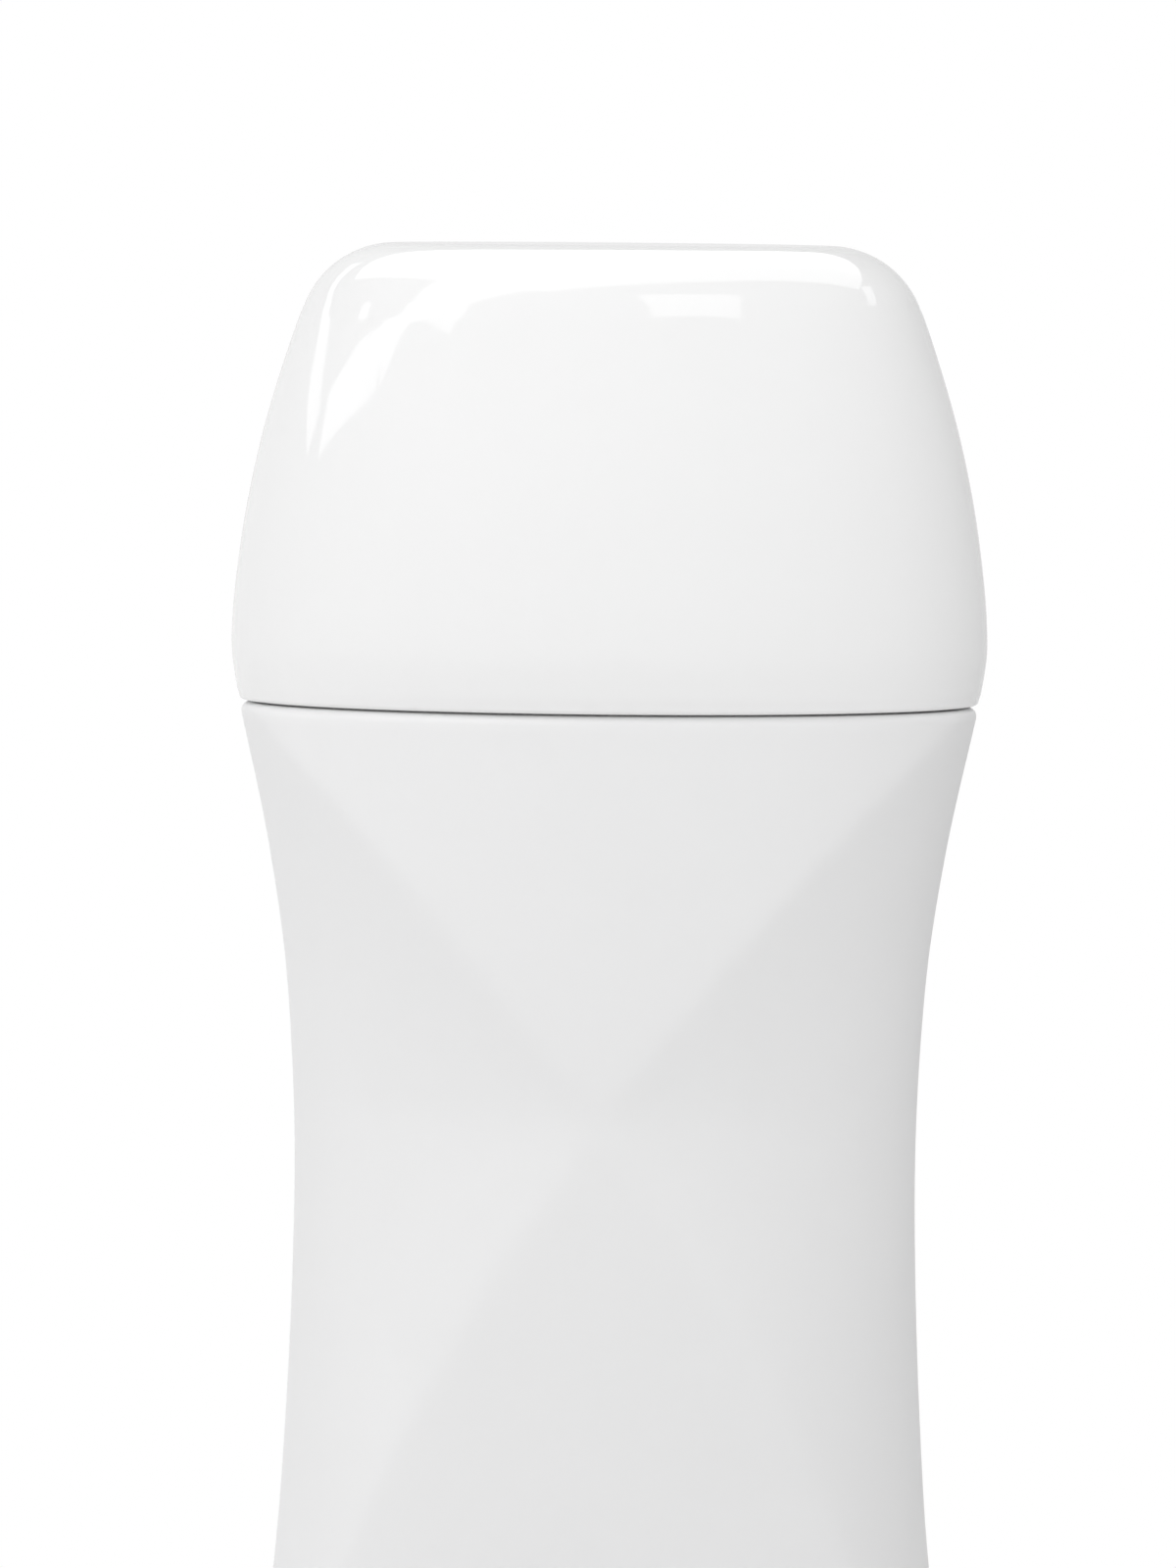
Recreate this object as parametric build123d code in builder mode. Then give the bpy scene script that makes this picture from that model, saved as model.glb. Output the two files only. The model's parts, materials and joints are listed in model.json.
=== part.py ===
"""Roll-on wax heater: a hand-held housing that warms a wax cartridge with a roller head,
closed by a pull-off cap.

Millimetres.  +Z is up, the front (the side with the power button) faces -Y, +X is to the
right of someone looking at the front.  The origin is on the resting plane, under the middle
of the housing.
"""
import os

from build123d import *

# ---------------------------------------------------------------- driving dimensions
WALL = 2.0                     # moulded wall of housing and cap
FIT = 0.15                     # clearance of one fixed part in another
EDGE_ROUND = 0.6               # small rounding of moulded edges

# Cartridge, which the housing is built around
TANK_HALF_WIDTH = 25.0
TANK_HALF_DEPTH = 15.5
TANK_CORNER = 10.0
TANK_WALL = 1.2
TANK_FLOOR_GAP = 2.0           # air under the tank, which hangs by its flange
TANK_FIT = 0.5                 # clearance of the tank in the heater sleeve
WAX_SPACE = 20.0               # air above the wax
HEAD_FLANGE = 2.5              # thickness of the flange that lands on the collar
HEAD_LIP = 2.5                 # how far the flange stands out past the tank
HEAD_HEIGHT = 18.0             # from collar deck to the top of the cheeks
HEAD_CORNER = 3.0
CHEEK = 3.1                    # thickness of the cheeks that carry the axle
TROUGH_WALL = 1.9              # thickness of the trough's lips, at the top
ROLLER_RADIUS = 9.5
ROLLER_GAP = 0.4               # running gap round the roller, in its trough
AXLE_RADIUS = 1.5
AXLE_FIT = 0.05                # running clearance of the roller on its axle
AXLE_COVER = 1.5               # cheek left above the axle
FEED_SLOT = 3.0                # width of the slot that feeds the roller with wax
FEED_SLOT_MARGIN = 4.5         # roller left uncovered past each end of the slot

# Heater
SLEEVE_WALL = 1.0
CRADLE_FLOOR = 2.0
CRADLE_Z = 46.0                # underside of the cradle, on its ledge
CRADLE_LIP = 7.0
LEDGE = 3.0                    # thickness of the ledges inside the housing
LEDGE_REACH = 4.0              # how far they stand in
ELEMENT = (24.0, 44.0, 1.6)    # width, height, thickness of the heating element
ELEMENT_Z = 88.0
PLATE = (26.0, 50.0, 1.2)      # pressure plate
BLANKET = (28.0, 56.0, 1.0)    # insulation sheet
CLAMP_RIBS = (8.0, 1.4)        # half pitch and thickness of the ribs that press the stack
THERMOSTAT = (5.0, 4.5)        # radius, height
THERMAL_FUSE = (2.0, 11.0)     # radius, length
GUARD_OFFSET = 3.0             # from the middle to the thermostat, and to the fuse
SENSOR = (1.2, 6.0)            # radius, length
SENSOR_RISE = 2.0              # height of its axis above the cradle's lip

# Housing, seen from the front: (height, how far it stands out past the waist), foot to rim
HOUSING_FLARE = ((1.0, 4.35), (20.0, 5.15), (40.0, 3.35), (62.0, 1.15), (92.0, 0.0),
                 (112.0, 0.8), (126.0, 2.75), (140.0, 5.75))
SIDE_SPACE = 2.35              # air between heater sleeve and wall, at the waist
FRONT_SPACE = 4.2              # air between insulation sheet and wall, at the waist
RIM_DROP = 1.0                 # how much shallower than the waist the rim is
FOOT_DROP = 1.4                # and the foot
WAIST_Z = 100.9                # height at which the four front facets meet
FRONT_OVERHANG = 0.5           # how far the main front curve would stand out past the rim
FACET_NECK = 0.04              # how far the side facets cut in at the meeting point
FACET_RISE_UP = 0.00170        # side facets: growth of depth with height squared, above
FACET_RISE_DOWN = 0.00210      # and below the meeting point

# Cap: (height above its rim, how far it stands out past the housing's rim)
CAP_GAP = 0.4                  # shadow gap between cap and housing
CAP_FLARE = ((0.0, 0.1), (6.0, 0.9), (16.0, 0.05), (26.0, -1.85), (36.0, -4.8), (45.6, -8.4))
CAP_SHOULDER = 9.6             # rounding between wall and top
CAP_FIT = 0.35                 # running clearance between cap and spigot

# Collar
SPIGOT_HEIGHT = 8.0            # how far the spigot stands above the housing rim
COLLAR_SKIRT = 9.0             # depth of the skirt inside the housing
COLLAR_WALL = 1.8
DECK = 3.0                     # thickness of the deck round the mouth
MOUTH_FIT = 0.6                # clearance of the tank in the mouth
GASKET = (1.0, 0.8)            # width and height of the mouth gasket
GASKET_MARGIN = 0.5            # deck left between mouth and gasket

# Level window, at the back
WINDOW = (8.0, 44.0)           # width, height
WINDOW_Z = 96.0
WINDOW_FLANGE = 2.0            # overlap of the flange behind the wall
WINDOW_FLANGE_THICKNESS = 1.2

# Power button and board
BUTTON_Z = 27.0
BUTTON_RADIUS = 7.0
BUTTON_PROUD = 0.5
BUTTON_DISH = (5.2, 0.4)       # radius and depth of the hollow for the finger
BUTTON_TRAVEL = 0.8
BUTTON_FIT = 0.15
BUTTON_FLANGE = 1.2            # thickness, and how far it stands out behind the bezel
BEZEL_WALL = 1.8
BEZEL_DEPTH = 6.0
STEM_RADIUS = 2.2
BOARD_HEIGHT = 32.0
BOARD_THICKNESS = 1.6
BOARD_SET_BACK = 15.2          # from the button's place on the front to the board's face
BOARD_SIDE_GAP = 0.6           # between the board and the shell bosses beside it
BOARD_HOLE_INSET = 4.0
TACT = (6.2, 3.5)              # side and height of the tact switch body
TACT_PLUNGER = (1.7, 1.0)      # radius and height
LIGHT_Z = 40.0                 # indicator light above the button
LIGHT_RADIUS = 1.3
LIGHT_BOSS_DEPTH = 5.0         # from the front to the end of the light guide's boss
LED = (1.2, 2.6)               # radius and height
LED_DOME = 0.95

# Mains inlet, at the back
INLET_Z = 22.0
INLET_BODY = (21.0, 13.0, 17.0)
INLET_MOUTH = (14.4, 8.4)
INLET_DEPTH = 12.0
PIN_RADIUS = 1.2
PIN_PITCH = 8.6
PIN_LENGTH = 9.0
PIN_TAIL = 5.0                 # solder end of a pin, behind the inlet
PIN_NOSE = 0.7                 # rounding of a pin's tip

# Base and fasteners
BASE_THICKNESS = 3.0
FOOT = (4.0, 1.8, 0.8)         # radius, height, depth of its recess
FOOT_INSET = (13.2, 15.1)      # from the housing's foot to a foot's middle, across and deep
SCREW_RADIUS = 1.4
SCREW_HEAD = (2.5, 1.8)        # radius, height
SCREW_FIT = 0.2
THREAD_FIT = 0.02              # screw in its pilot hole
SCREW_RUNOUT = 1.0             # pilot hole left past a screw's end
HEAD_ROUND_SHARE = 0.4         # rounding of a screw head, as a share of its height
CROSS_SHARES = (1.2, 0.3, 0.5) # cross slot: length and width by head radius, depth by height
BOSS_RADIUS = 3.4
BOARD_BOSS_RADIUS = 2.8
BOARD_SCREW_RADIUS = 1.0
BOARD_SCREW_HEAD = (1.9, 1.3)
BOARD_SCREW_REACH = 5.0
SHELL_SCREW_INSET = 9.2        # from the housing's foot, across
SHELL_SCREW_HEIGHTS = (13.0, 37.0)
SHELL_SCREW_SEAT = 9.0         # y of the face under the screw heads
SHELL_SCREW_REACH = 9.0        # how far the screws go into the front bosses
BASE_SCREW_HALF_PITCH = 12.0
BASE_SCREW_INSET = 9.6         # from the housing's foot, deep
BASE_SCREW_REACH = 6.0
BASE_BOSS_HEIGHT = 8.0

# ---------------------------------------------------------------- worked out from them
SLEEVE_HALF_WIDTH = TANK_HALF_WIDTH + TANK_FIT + SLEEVE_WALL
SLEEVE_FACE = TANK_HALF_DEPTH + TANK_FIT + SLEEVE_WALL
STACK_FACE = SLEEVE_FACE + ELEMENT[2] + PLATE[2] + BLANKET[2]
WAIST_HALF_WIDTH = SLEEVE_HALF_WIDTH + SIDE_SPACE + WALL
WAIST_HALF_DEPTH = STACK_FACE + FRONT_SPACE + WALL
HOUSING_STATIONS = [(z, WAIST_HALF_WIDTH + flare) for z, flare in HOUSING_FLARE]
FOOT_Z, FOOT_HALF_WIDTH = HOUSING_STATIONS[0]
RIM_Z, RIM_HALF_WIDTH = HOUSING_STATIONS[-1]
FOOT_HALF_DEPTH = WAIST_HALF_DEPTH - FOOT_DROP
RIM_HALF_DEPTH = WAIST_HALF_DEPTH - RIM_DROP
CAP_Z = RIM_Z + CAP_GAP
CAP_STATIONS = [(CAP_Z + h, RIM_HALF_WIDTH + flare, RIM_HALF_DEPTH + flare)
                for h, flare in CAP_FLARE]
DECK_Z = RIM_Z + SPIGOT_HEIGHT
COLLAR_Z = RIM_Z - COLLAR_SKIRT
SLEEVE_Z = CRADLE_Z + CRADLE_FLOOR
SLEEVE_TOP_Z = COLLAR_Z - TANK_FIT
TANK_BOTTOM_Z = SLEEVE_Z + TANK_FLOOR_GAP
ROLLER_Z = DECK_Z + HEAD_HEIGHT - AXLE_COVER - AXLE_RADIUS
ROLLER_HALF_LENGTH = TANK_HALF_WIDTH - CHEEK - ROLLER_GAP
HEAD_TOP_HALF_DEPTH = ROLLER_RADIUS + ROLLER_GAP + TROUGH_WALL
BASE_TOP_Z = FOOT_Z + BASE_THICKNESS


def front_depth(z):
    """Half depth of the main front curve at a height."""
    if z > WAIST_Z:
        return WAIST_HALF_DEPTH - RIM_DROP * ((z - WAIST_Z) / (RIM_Z - WAIST_Z)) ** 2
    return WAIST_HALF_DEPTH - FOOT_DROP * ((WAIST_Z - z) / (WAIST_Z - FOOT_Z)) ** 2


def facet_depth(z):
    """Half depth of the pinched form that cuts the two side facets."""
    rise = FACET_RISE_UP if z > WAIST_Z else FACET_RISE_DOWN
    return WAIST_HALF_DEPTH - FACET_NECK + rise * (z - WAIST_Z) ** 2


def oval_loft(stations):
    """A solid through level ovals: (height, half width, half depth) from foot to top."""
    with BuildPart() as form:
        for z, half_width, half_depth in stations:
            with BuildSketch(Plane.XY.offset(z)):
                Ellipse(half_width, half_depth)
        loft()
    return form.part


def pinched_form(inset):
    """The hourglass that carries the side facets."""
    return oval_loft([(z, w - inset, facet_depth(z) - inset) for z, w in HOUSING_STATIONS])


def front_form(inset):
    """The main front curve, as wide from foot to rim; the side facets trim it."""
    half_width = RIM_HALF_WIDTH + FRONT_OVERHANG
    return oval_loft([(z, half_width - inset, front_depth(z) - inset)
                      for z, _ in HOUSING_STATIONS])


def rear_form(inset):
    """The plain back, with the outline of the front."""
    return oval_loft([(z, w - inset, front_depth(z) - inset) for z, w in HOUSING_STATIONS])


def housing_form(inset):
    """The whole housing, shrunk by an inset: faceted front half, plain rear half."""
    with BuildPart() as front:
        add(pinched_form(inset))
        add(front_form(inset), mode=Mode.INTERSECT)
        split(bisect_by=Plane.XZ, keep=Keep.TOP)
    with BuildPart() as rear:
        add(rear_form(inset))
        split(bisect_by=Plane.XZ, keep=Keep.BOTTOM)
    return front.part, rear.part


def rim_edges(form):
    """The curved edges of a housing half at its rim."""
    return form.edges().group_by(Axis.Z)[-1].filter_by(GeomType.LINE, reverse=True)


def slab(form, z, height, hole=None):
    """The level slice of a form, with an optional hole sketched by a function."""
    with BuildPart() as slice_of_form:
        add(form)
        with BuildSketch(Plane.XY.offset(z)):
            Rectangle(4 * RIM_HALF_WIDTH, 4 * RIM_HALF_WIDTH)
            if hole:
                hole()
        extrude(amount=height, mode=Mode.INTERSECT)
    return slice_of_form.part


def tank_outline(grow=0.0, mode=Mode.ADD):
    """The cartridge's outline, grown evenly on all sides."""
    return RectangleRounded(2 * (TANK_HALF_WIDTH + grow), 2 * (TANK_HALF_DEPTH + grow),
                            TANK_CORNER + grow, mode=mode)


def posts(form, places, radius, start, toward_front=True):
    """Round posts along Y, from a plane out to the wall of a form."""
    with BuildPart() as group:
        with BuildSketch(Plane.XZ.offset(start if toward_front else -start)):
            with Locations(*places):
                Circle(radius)
        extrude(amount=2 * WAIST_HALF_DEPTH if toward_front else -2 * WAIST_HALF_DEPTH)
        add(form, mode=Mode.INTERSECT)
    return group.part


def four_places(half_pitch_x, half_pitch_y, middle=0.0):
    """Two places to the left and two to the right of the middle plane."""
    return [(x, middle + y) for x in (-half_pitch_x, half_pitch_x)
            for y in (-half_pitch_y, half_pitch_y)]


def finish(name, part):
    """Label a finished piece and write it to its file."""
    part.label = name
    export_step(part, f"parts/{name}.step")


os.makedirs("parts", exist_ok=True)

# ---------------------------------------------------------------- housing forms
front_outer, rear_outer = housing_form(0)
front_inner, rear_inner = housing_form(WALL)
front_fitted, rear_fitted = housing_form(WALL + FIT)
with BuildPart() as housing_fitted:
    add(front_fitted)
    add(rear_fitted)

shell_screw_x = FOOT_HALF_WIDTH - SHELL_SCREW_INSET
shell_screw_places = [(x, z) for x in (-shell_screw_x, shell_screw_x)
                      for z in SHELL_SCREW_HEIGHTS]
base_screw_places = four_places(BASE_SCREW_HALF_PITCH, FOOT_HALF_DEPTH - BASE_SCREW_INSET)
foot_places = four_places(FOOT_HALF_WIDTH - FOOT_INSET[0], FOOT_HALF_DEPTH - FOOT_INSET[1])
board_half_width = shell_screw_x - BOSS_RADIUS - BOARD_SIDE_GAP
board_screw_places = four_places(board_half_width - BOARD_HOLE_INSET,
                                 BOARD_HEIGHT / 2 - BOARD_HOLE_INSET, BUTTON_Z)
button_face = front_depth(BUTTON_Z)
board_face = button_face - BOARD_SET_BACK
bezel_radius = BUTTON_RADIUS + BUTTON_FIT + BEZEL_WALL
light_bore = LIGHT_RADIUS + FIT


def ledge_hole():
    """Opening of a ledge: clear of the heater sleeve and of the grip's hollow."""
    Ellipse(RIM_HALF_WIDTH - WALL - 2 * LEDGE_REACH, RIM_HALF_DEPTH - WALL - LEDGE_REACH,
            mode=Mode.SUBTRACT)
    tank_outline(TANK_FIT + SLEEVE_WALL + TANK_FIT, mode=Mode.SUBTRACT)


def base_bosses(form, side):
    """Two upright bosses for the base screws, tied to the wall by webs."""
    places = [place for place in base_screw_places if place[1] * side > 0]
    with BuildPart() as group:
        with BuildSketch(Plane.XY.offset(BASE_TOP_Z)):
            with Locations(*places):
                Circle(BOSS_RADIUS)
            with Locations(*[(x, y + side * BOSS_RADIUS) for x, y in places]):
                Rectangle(BOSS_RADIUS, 2 * BOSS_RADIUS + WALL)
        extrude(amount=BASE_BOSS_HEIGHT)
        with BuildSketch(Plane.XY.offset(BASE_TOP_Z)):
            with Locations(*places):
                Circle(SCREW_RADIUS + THREAD_FIT)
        extrude(amount=BASE_SCREW_REACH + SCREW_RUNOUT, mode=Mode.SUBTRACT)
        add(form, mode=Mode.INTERSECT)
    return group.part


# ---------------------------------------------------------------- front shell
with BuildPart() as clamp_ribs:
    with BuildSketch(Plane.XZ.offset(STACK_FACE + FIT)):
        with Locations((-CLAMP_RIBS[0], ELEMENT_Z), (CLAMP_RIBS[0], ELEMENT_Z)):
            Rectangle(CLAMP_RIBS[1], ELEMENT[1])
    extrude(amount=WAIST_HALF_DEPTH)
    add(front_outer, mode=Mode.INTERSECT)

with BuildPart() as front_shell:
    add(front_outer)
    fillet(rim_edges(front_shell), EDGE_ROUND)
    add(front_inner, mode=Mode.SUBTRACT)
    add(slab(front_inner, COLLAR_Z - LEDGE, LEDGE, ledge_hole))
    add(slab(front_inner, CRADLE_Z - LEDGE, LEDGE, ledge_hole))
    add(clamp_ribs.part)
    add(posts(front_outer, shell_screw_places, BOSS_RADIUS, 0))
    add(posts(front_outer, board_screw_places, BOARD_BOSS_RADIUS, board_face))
    add(posts(front_outer, [(0, LIGHT_Z)], LIGHT_RADIUS + WALL,
              front_depth(LIGHT_Z) - LIGHT_BOSS_DEPTH))
    add(base_bosses(front_outer, -1))
    with BuildSketch(Plane.XZ):
        with Locations(*shell_screw_places):
            Circle(SCREW_RADIUS + THREAD_FIT)
    extrude(amount=SHELL_SCREW_REACH + SCREW_RUNOUT, mode=Mode.SUBTRACT)
    with BuildSketch(Plane.XZ.offset(board_face)):
        with Locations(*board_screw_places):
            Circle(BOARD_SCREW_RADIUS + THREAD_FIT)
    extrude(amount=BOARD_SCREW_REACH + SCREW_RUNOUT, mode=Mode.SUBTRACT)
    with BuildSketch(Plane.XZ.offset(board_face)):
        with Locations((0, BUTTON_Z)):
            Circle(bezel_radius + FIT)
        with Locations((0, LIGHT_Z)):
            Circle(light_bore)
    extrude(amount=WAIST_HALF_DEPTH, mode=Mode.SUBTRACT)
finish("front_shell", front_shell.part)

# ---------------------------------------------------------------- rear shell
with BuildPart() as rear_shell:
    add(rear_outer)
    fillet(rim_edges(rear_shell), EDGE_ROUND)
    add(rear_inner, mode=Mode.SUBTRACT)
    add(slab(rear_inner, COLLAR_Z - LEDGE, LEDGE, ledge_hole))
    add(slab(rear_inner, CRADLE_Z - LEDGE, LEDGE, ledge_hole))
    add(posts(rear_outer, shell_screw_places, BOSS_RADIUS, 0, toward_front=False))
    add(base_bosses(rear_outer, 1))
    with BuildSketch(Plane.XZ):
        with Locations(*shell_screw_places):
            Circle(SCREW_RADIUS + SCREW_FIT)
    extrude(amount=-WAIST_HALF_DEPTH, mode=Mode.SUBTRACT)
    with BuildSketch(Plane.XZ.offset(-SHELL_SCREW_SEAT)):
        with Locations(*shell_screw_places):
            Circle(SCREW_HEAD[0] + SCREW_FIT)
    extrude(amount=-WAIST_HALF_DEPTH, mode=Mode.SUBTRACT)
    with BuildSketch(Plane.XZ.offset(-SLEEVE_FACE)):
        with Locations((0, WINDOW_Z)):
            SlotOverall(WINDOW[1], WINDOW[0], rotation=90)
        with Locations((0, INLET_Z)):
            RectangleRounded(INLET_BODY[0] + 2 * FIT, INLET_BODY[1] + 2 * FIT, WALL + FIT)
    extrude(amount=-WAIST_HALF_DEPTH, mode=Mode.SUBTRACT)
finish("rear_shell", rear_shell.part)

# ---------------------------------------------------------------- level window
with BuildPart() as window_pane:
    add(rear_outer)
    with BuildSketch(Plane.XZ):
        with Locations((0, WINDOW_Z)):
            SlotOverall(WINDOW[1] - 2 * FIT, WINDOW[0] - 2 * FIT, rotation=90)
    extrude(amount=-2 * WAIST_HALF_DEPTH, mode=Mode.INTERSECT)

with BuildPart() as level_window:
    add(rear_inner)
    with BuildSketch(Plane.XZ):
        with Locations((0, WINDOW_Z)):
            SlotOverall(WINDOW[1] + 2 * WINDOW_FLANGE, WINDOW[0] + 2 * WINDOW_FLANGE,
                        rotation=90)
    extrude(amount=-2 * WAIST_HALF_DEPTH, mode=Mode.INTERSECT)
    add(window_pane.part)
    add(rear_form(WALL + WINDOW_FLANGE_THICKNESS), mode=Mode.SUBTRACT)
finish("level_window", level_window.part)

# ---------------------------------------------------------------- collar
with BuildPart() as top_collar:
    add(slab(housing_fitted.part, COLLAR_Z, COLLAR_SKIRT))
    with BuildSketch(Plane.XY.offset(RIM_Z)):
        Ellipse(CAP_STATIONS[0][1] - WALL - CAP_FIT, CAP_STATIONS[0][2] - WALL - CAP_FIT)
    extrude(amount=SPIGOT_HEIGHT)
    fillet(top_collar.edges().group_by(Axis.Z)[-1], EDGE_ROUND)
    with BuildSketch(Plane.XY.offset(COLLAR_Z)):
        Ellipse(RIM_HALF_WIDTH - 2 * WALL - 2 * COLLAR_WALL,
                RIM_HALF_DEPTH - WALL - COLLAR_WALL - FIT)
        tank_outline(MOUTH_FIT + COLLAR_WALL, mode=Mode.SUBTRACT)
    extrude(amount=DECK_Z - DECK - COLLAR_Z, mode=Mode.SUBTRACT)
    with BuildSketch(Plane.XY.offset(COLLAR_Z)):
        tank_outline(MOUTH_FIT)
    extrude(amount=DECK_Z - COLLAR_Z, mode=Mode.SUBTRACT)
    with BuildSketch(Plane.XY.offset(DECK_Z)):
        tank_outline(MOUTH_FIT + GASKET_MARGIN + GASKET[0])
        tank_outline(MOUTH_FIT + GASKET_MARGIN, mode=Mode.SUBTRACT)
    extrude(amount=-GASKET[1] - FIT, mode=Mode.SUBTRACT)
finish("top_collar", top_collar.part)

with BuildPart() as mouth_gasket:
    with BuildSketch(Plane.XY.offset(DECK_Z - FIT)):
        tank_outline(MOUTH_FIT + GASKET_MARGIN + GASKET[0])
        tank_outline(MOUTH_FIT + GASKET_MARGIN, mode=Mode.SUBTRACT)
    extrude(amount=-GASKET[1])
finish("mouth_gasket", mouth_gasket.part)

# ---------------------------------------------------------------- cap


def cap_form(inset):
    """The cap's shape, shrunk by an inset and rounded over at the top."""
    *wall_stations, (top_z, top_half_width, top_half_depth) = CAP_STATIONS
    stations = wall_stations + [(top_z - inset, top_half_width, top_half_depth)]
    shape = oval_loft([(z, w - inset, d - inset) for z, w, d in stations])
    with BuildPart() as form:
        add(shape)
        fillet(form.edges().group_by(Axis.Z)[-1], CAP_SHOULDER - inset)
    return form.part


with BuildPart() as cap:
    add(cap_form(0))
    fillet(cap.edges().group_by(Axis.Z)[0], EDGE_ROUND)
    add(cap_form(WALL), mode=Mode.SUBTRACT)
finish("cap", cap.part)

# ---------------------------------------------------------------- heater
with BuildPart() as heater_sleeve:
    with BuildSketch(Plane.XY.offset(SLEEVE_Z)):
        tank_outline(TANK_FIT + SLEEVE_WALL)
        tank_outline(TANK_FIT, mode=Mode.SUBTRACT)
    extrude(amount=SLEEVE_TOP_Z - SLEEVE_Z)
    with BuildSketch(Plane.XZ):
        with Locations((0, WINDOW_Z)):
            SlotOverall(WINDOW[1], WINDOW[0], rotation=90)
    extrude(amount=-WAIST_HALF_DEPTH, mode=Mode.SUBTRACT)
finish("heater_sleeve", heater_sleeve.part)

with BuildPart() as cradle:
    add(slab(housing_fitted.part, CRADLE_Z, CRADLE_FLOOR))
    with BuildSketch(Plane.XY.offset(SLEEVE_Z)):
        tank_outline(TANK_FIT + SLEEVE_WALL + FIT + COLLAR_WALL)
        tank_outline(TANK_FIT + SLEEVE_WALL + FIT, mode=Mode.SUBTRACT)
    extrude(amount=CRADLE_LIP)
    add(housing_fitted.part, mode=Mode.INTERSECT)
finish("cradle", cradle.part)


def flat_sheet(width_height_thickness, start, z):
    """A flat sheet on the front of the sleeve."""
    width, height, thickness = width_height_thickness
    with BuildPart() as sheet:
        with BuildSketch(Plane.XZ.offset(start)):
            with Locations((0, z)):
                RectangleRounded(width, height, 2 * thickness)
        extrude(amount=thickness)
    return sheet.part


finish("heating_element", flat_sheet(ELEMENT, SLEEVE_FACE, ELEMENT_Z))
finish("pressure_plate", flat_sheet(PLATE, SLEEVE_FACE + ELEMENT[2], ELEMENT_Z))
finish("insulation_sheet", flat_sheet(BLANKET, SLEEVE_FACE + ELEMENT[2] + PLATE[2], ELEMENT_Z))

# Thermostat and fuse sit between the cradle's lip and the foot of the window
guard_z = (SLEEVE_Z + CRADLE_LIP + WINDOW_Z - WINDOW[1] / 2) / 2
with BuildPart() as thermostat:
    with BuildSketch(Plane.XZ.offset(-SLEEVE_FACE)):
        with Locations((-THERMOSTAT[0] - GUARD_OFFSET, guard_z)):
            Circle(THERMOSTAT[0])
    extrude(amount=-THERMOSTAT[1])
    fillet(thermostat.edges().group_by(Axis.Y)[-1], EDGE_ROUND)
finish("thermostat", thermostat.part)

with BuildPart() as thermal_fuse:
    with BuildSketch(Plane.YZ.offset(GUARD_OFFSET)):
        with Locations((SLEEVE_FACE + THERMAL_FUSE[0], guard_z)):
            Circle(THERMAL_FUSE[0])
    extrude(amount=THERMAL_FUSE[1])
finish("thermal_fuse", thermal_fuse.part)

with BuildPart() as temperature_sensor:
    with BuildSketch(Plane.YZ.offset(-SENSOR[1] / 2)):
        with Locations((-SLEEVE_FACE - SENSOR[0], SLEEVE_Z + CRADLE_LIP + SENSOR_RISE)):
            Circle(SENSOR[0])
    extrude(amount=SENSOR[1])
finish("temperature_sensor", temperature_sensor.part)

# ---------------------------------------------------------------- button, light and board
bezel_back = button_face - BEZEL_DEPTH
bezel_blank = posts(front_outer, [(0, BUTTON_Z)], bezel_radius, bezel_back)
with BuildPart() as button_bezel:
    add(bezel_blank)
    with BuildSketch(Plane.XZ):
        with Locations((0, BUTTON_Z)):
            Circle(BUTTON_RADIUS + BUTTON_FIT)
    extrude(amount=2 * WAIST_HALF_DEPTH, mode=Mode.SUBTRACT)
finish("button_bezel", button_bezel.part)

flange_front = bezel_back - 2 * BUTTON_FIT
flange_back = flange_front - BUTTON_FLANGE
button_front = button_face + BUTTON_PROUD
stem_tip = board_face + TACT[1] + TACT_PLUNGER[1] + BUTTON_TRAVEL + BUTTON_FIT
dish_radius = (BUTTON_DISH[0] ** 2 + BUTTON_DISH[1] ** 2) / (2 * BUTTON_DISH[1])
with BuildPart() as power_button:
    with BuildSketch(Plane.XZ.offset(flange_back)):
        with Locations((0, BUTTON_Z)):
            Circle(BUTTON_RADIUS + BUTTON_FLANGE)
    extrude(amount=BUTTON_FLANGE)
    with BuildSketch(Plane.XZ.offset(flange_back)):
        with Locations((0, BUTTON_Z)):
            Circle(BUTTON_RADIUS)
    extrude(amount=button_front - flange_back)
    fillet(power_button.edges().group_by(Axis.Y)[0], EDGE_ROUND)
    with Locations((0, BUTTON_DISH[1] - button_front - dish_radius, BUTTON_Z)):
        Sphere(dish_radius, mode=Mode.SUBTRACT)
    with BuildSketch(Plane.XZ.offset(flange_back)):
        with Locations((0, BUTTON_Z)):
            Circle(BUTTON_RADIUS - WALL)
    extrude(amount=button_front - WALL - flange_back, mode=Mode.SUBTRACT)
    with BuildSketch(Plane.XZ.offset(stem_tip)):
        with Locations((0, BUTTON_Z)):
            Circle(STEM_RADIUS)
    extrude(amount=button_front - WALL / 2 - stem_tip)
finish("power_button", power_button.part)

with BuildPart() as control_board:
    with BuildSketch(Plane.XZ.offset(board_face)):
        with Locations((0, BUTTON_Z)):
            RectangleRounded(2 * board_half_width, BOARD_HEIGHT, WALL)
        with Locations(*board_screw_places):
            Circle(BOARD_SCREW_RADIUS + SCREW_FIT, mode=Mode.SUBTRACT)
    extrude(amount=-BOARD_THICKNESS)
finish("control_board", control_board.part)

with BuildPart() as tact_switch:
    with BuildSketch(Plane.XZ.offset(board_face)):
        with Locations((0, BUTTON_Z)):
            Rectangle(TACT[0], TACT[0])
    extrude(amount=TACT[1])
    with BuildSketch(Plane.XZ.offset(board_face + TACT[1])):
        with Locations((0, BUTTON_Z)):
            Circle(TACT_PLUNGER[0])
    extrude(amount=TACT_PLUNGER[1])
finish("tact_switch", tact_switch.part)

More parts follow.
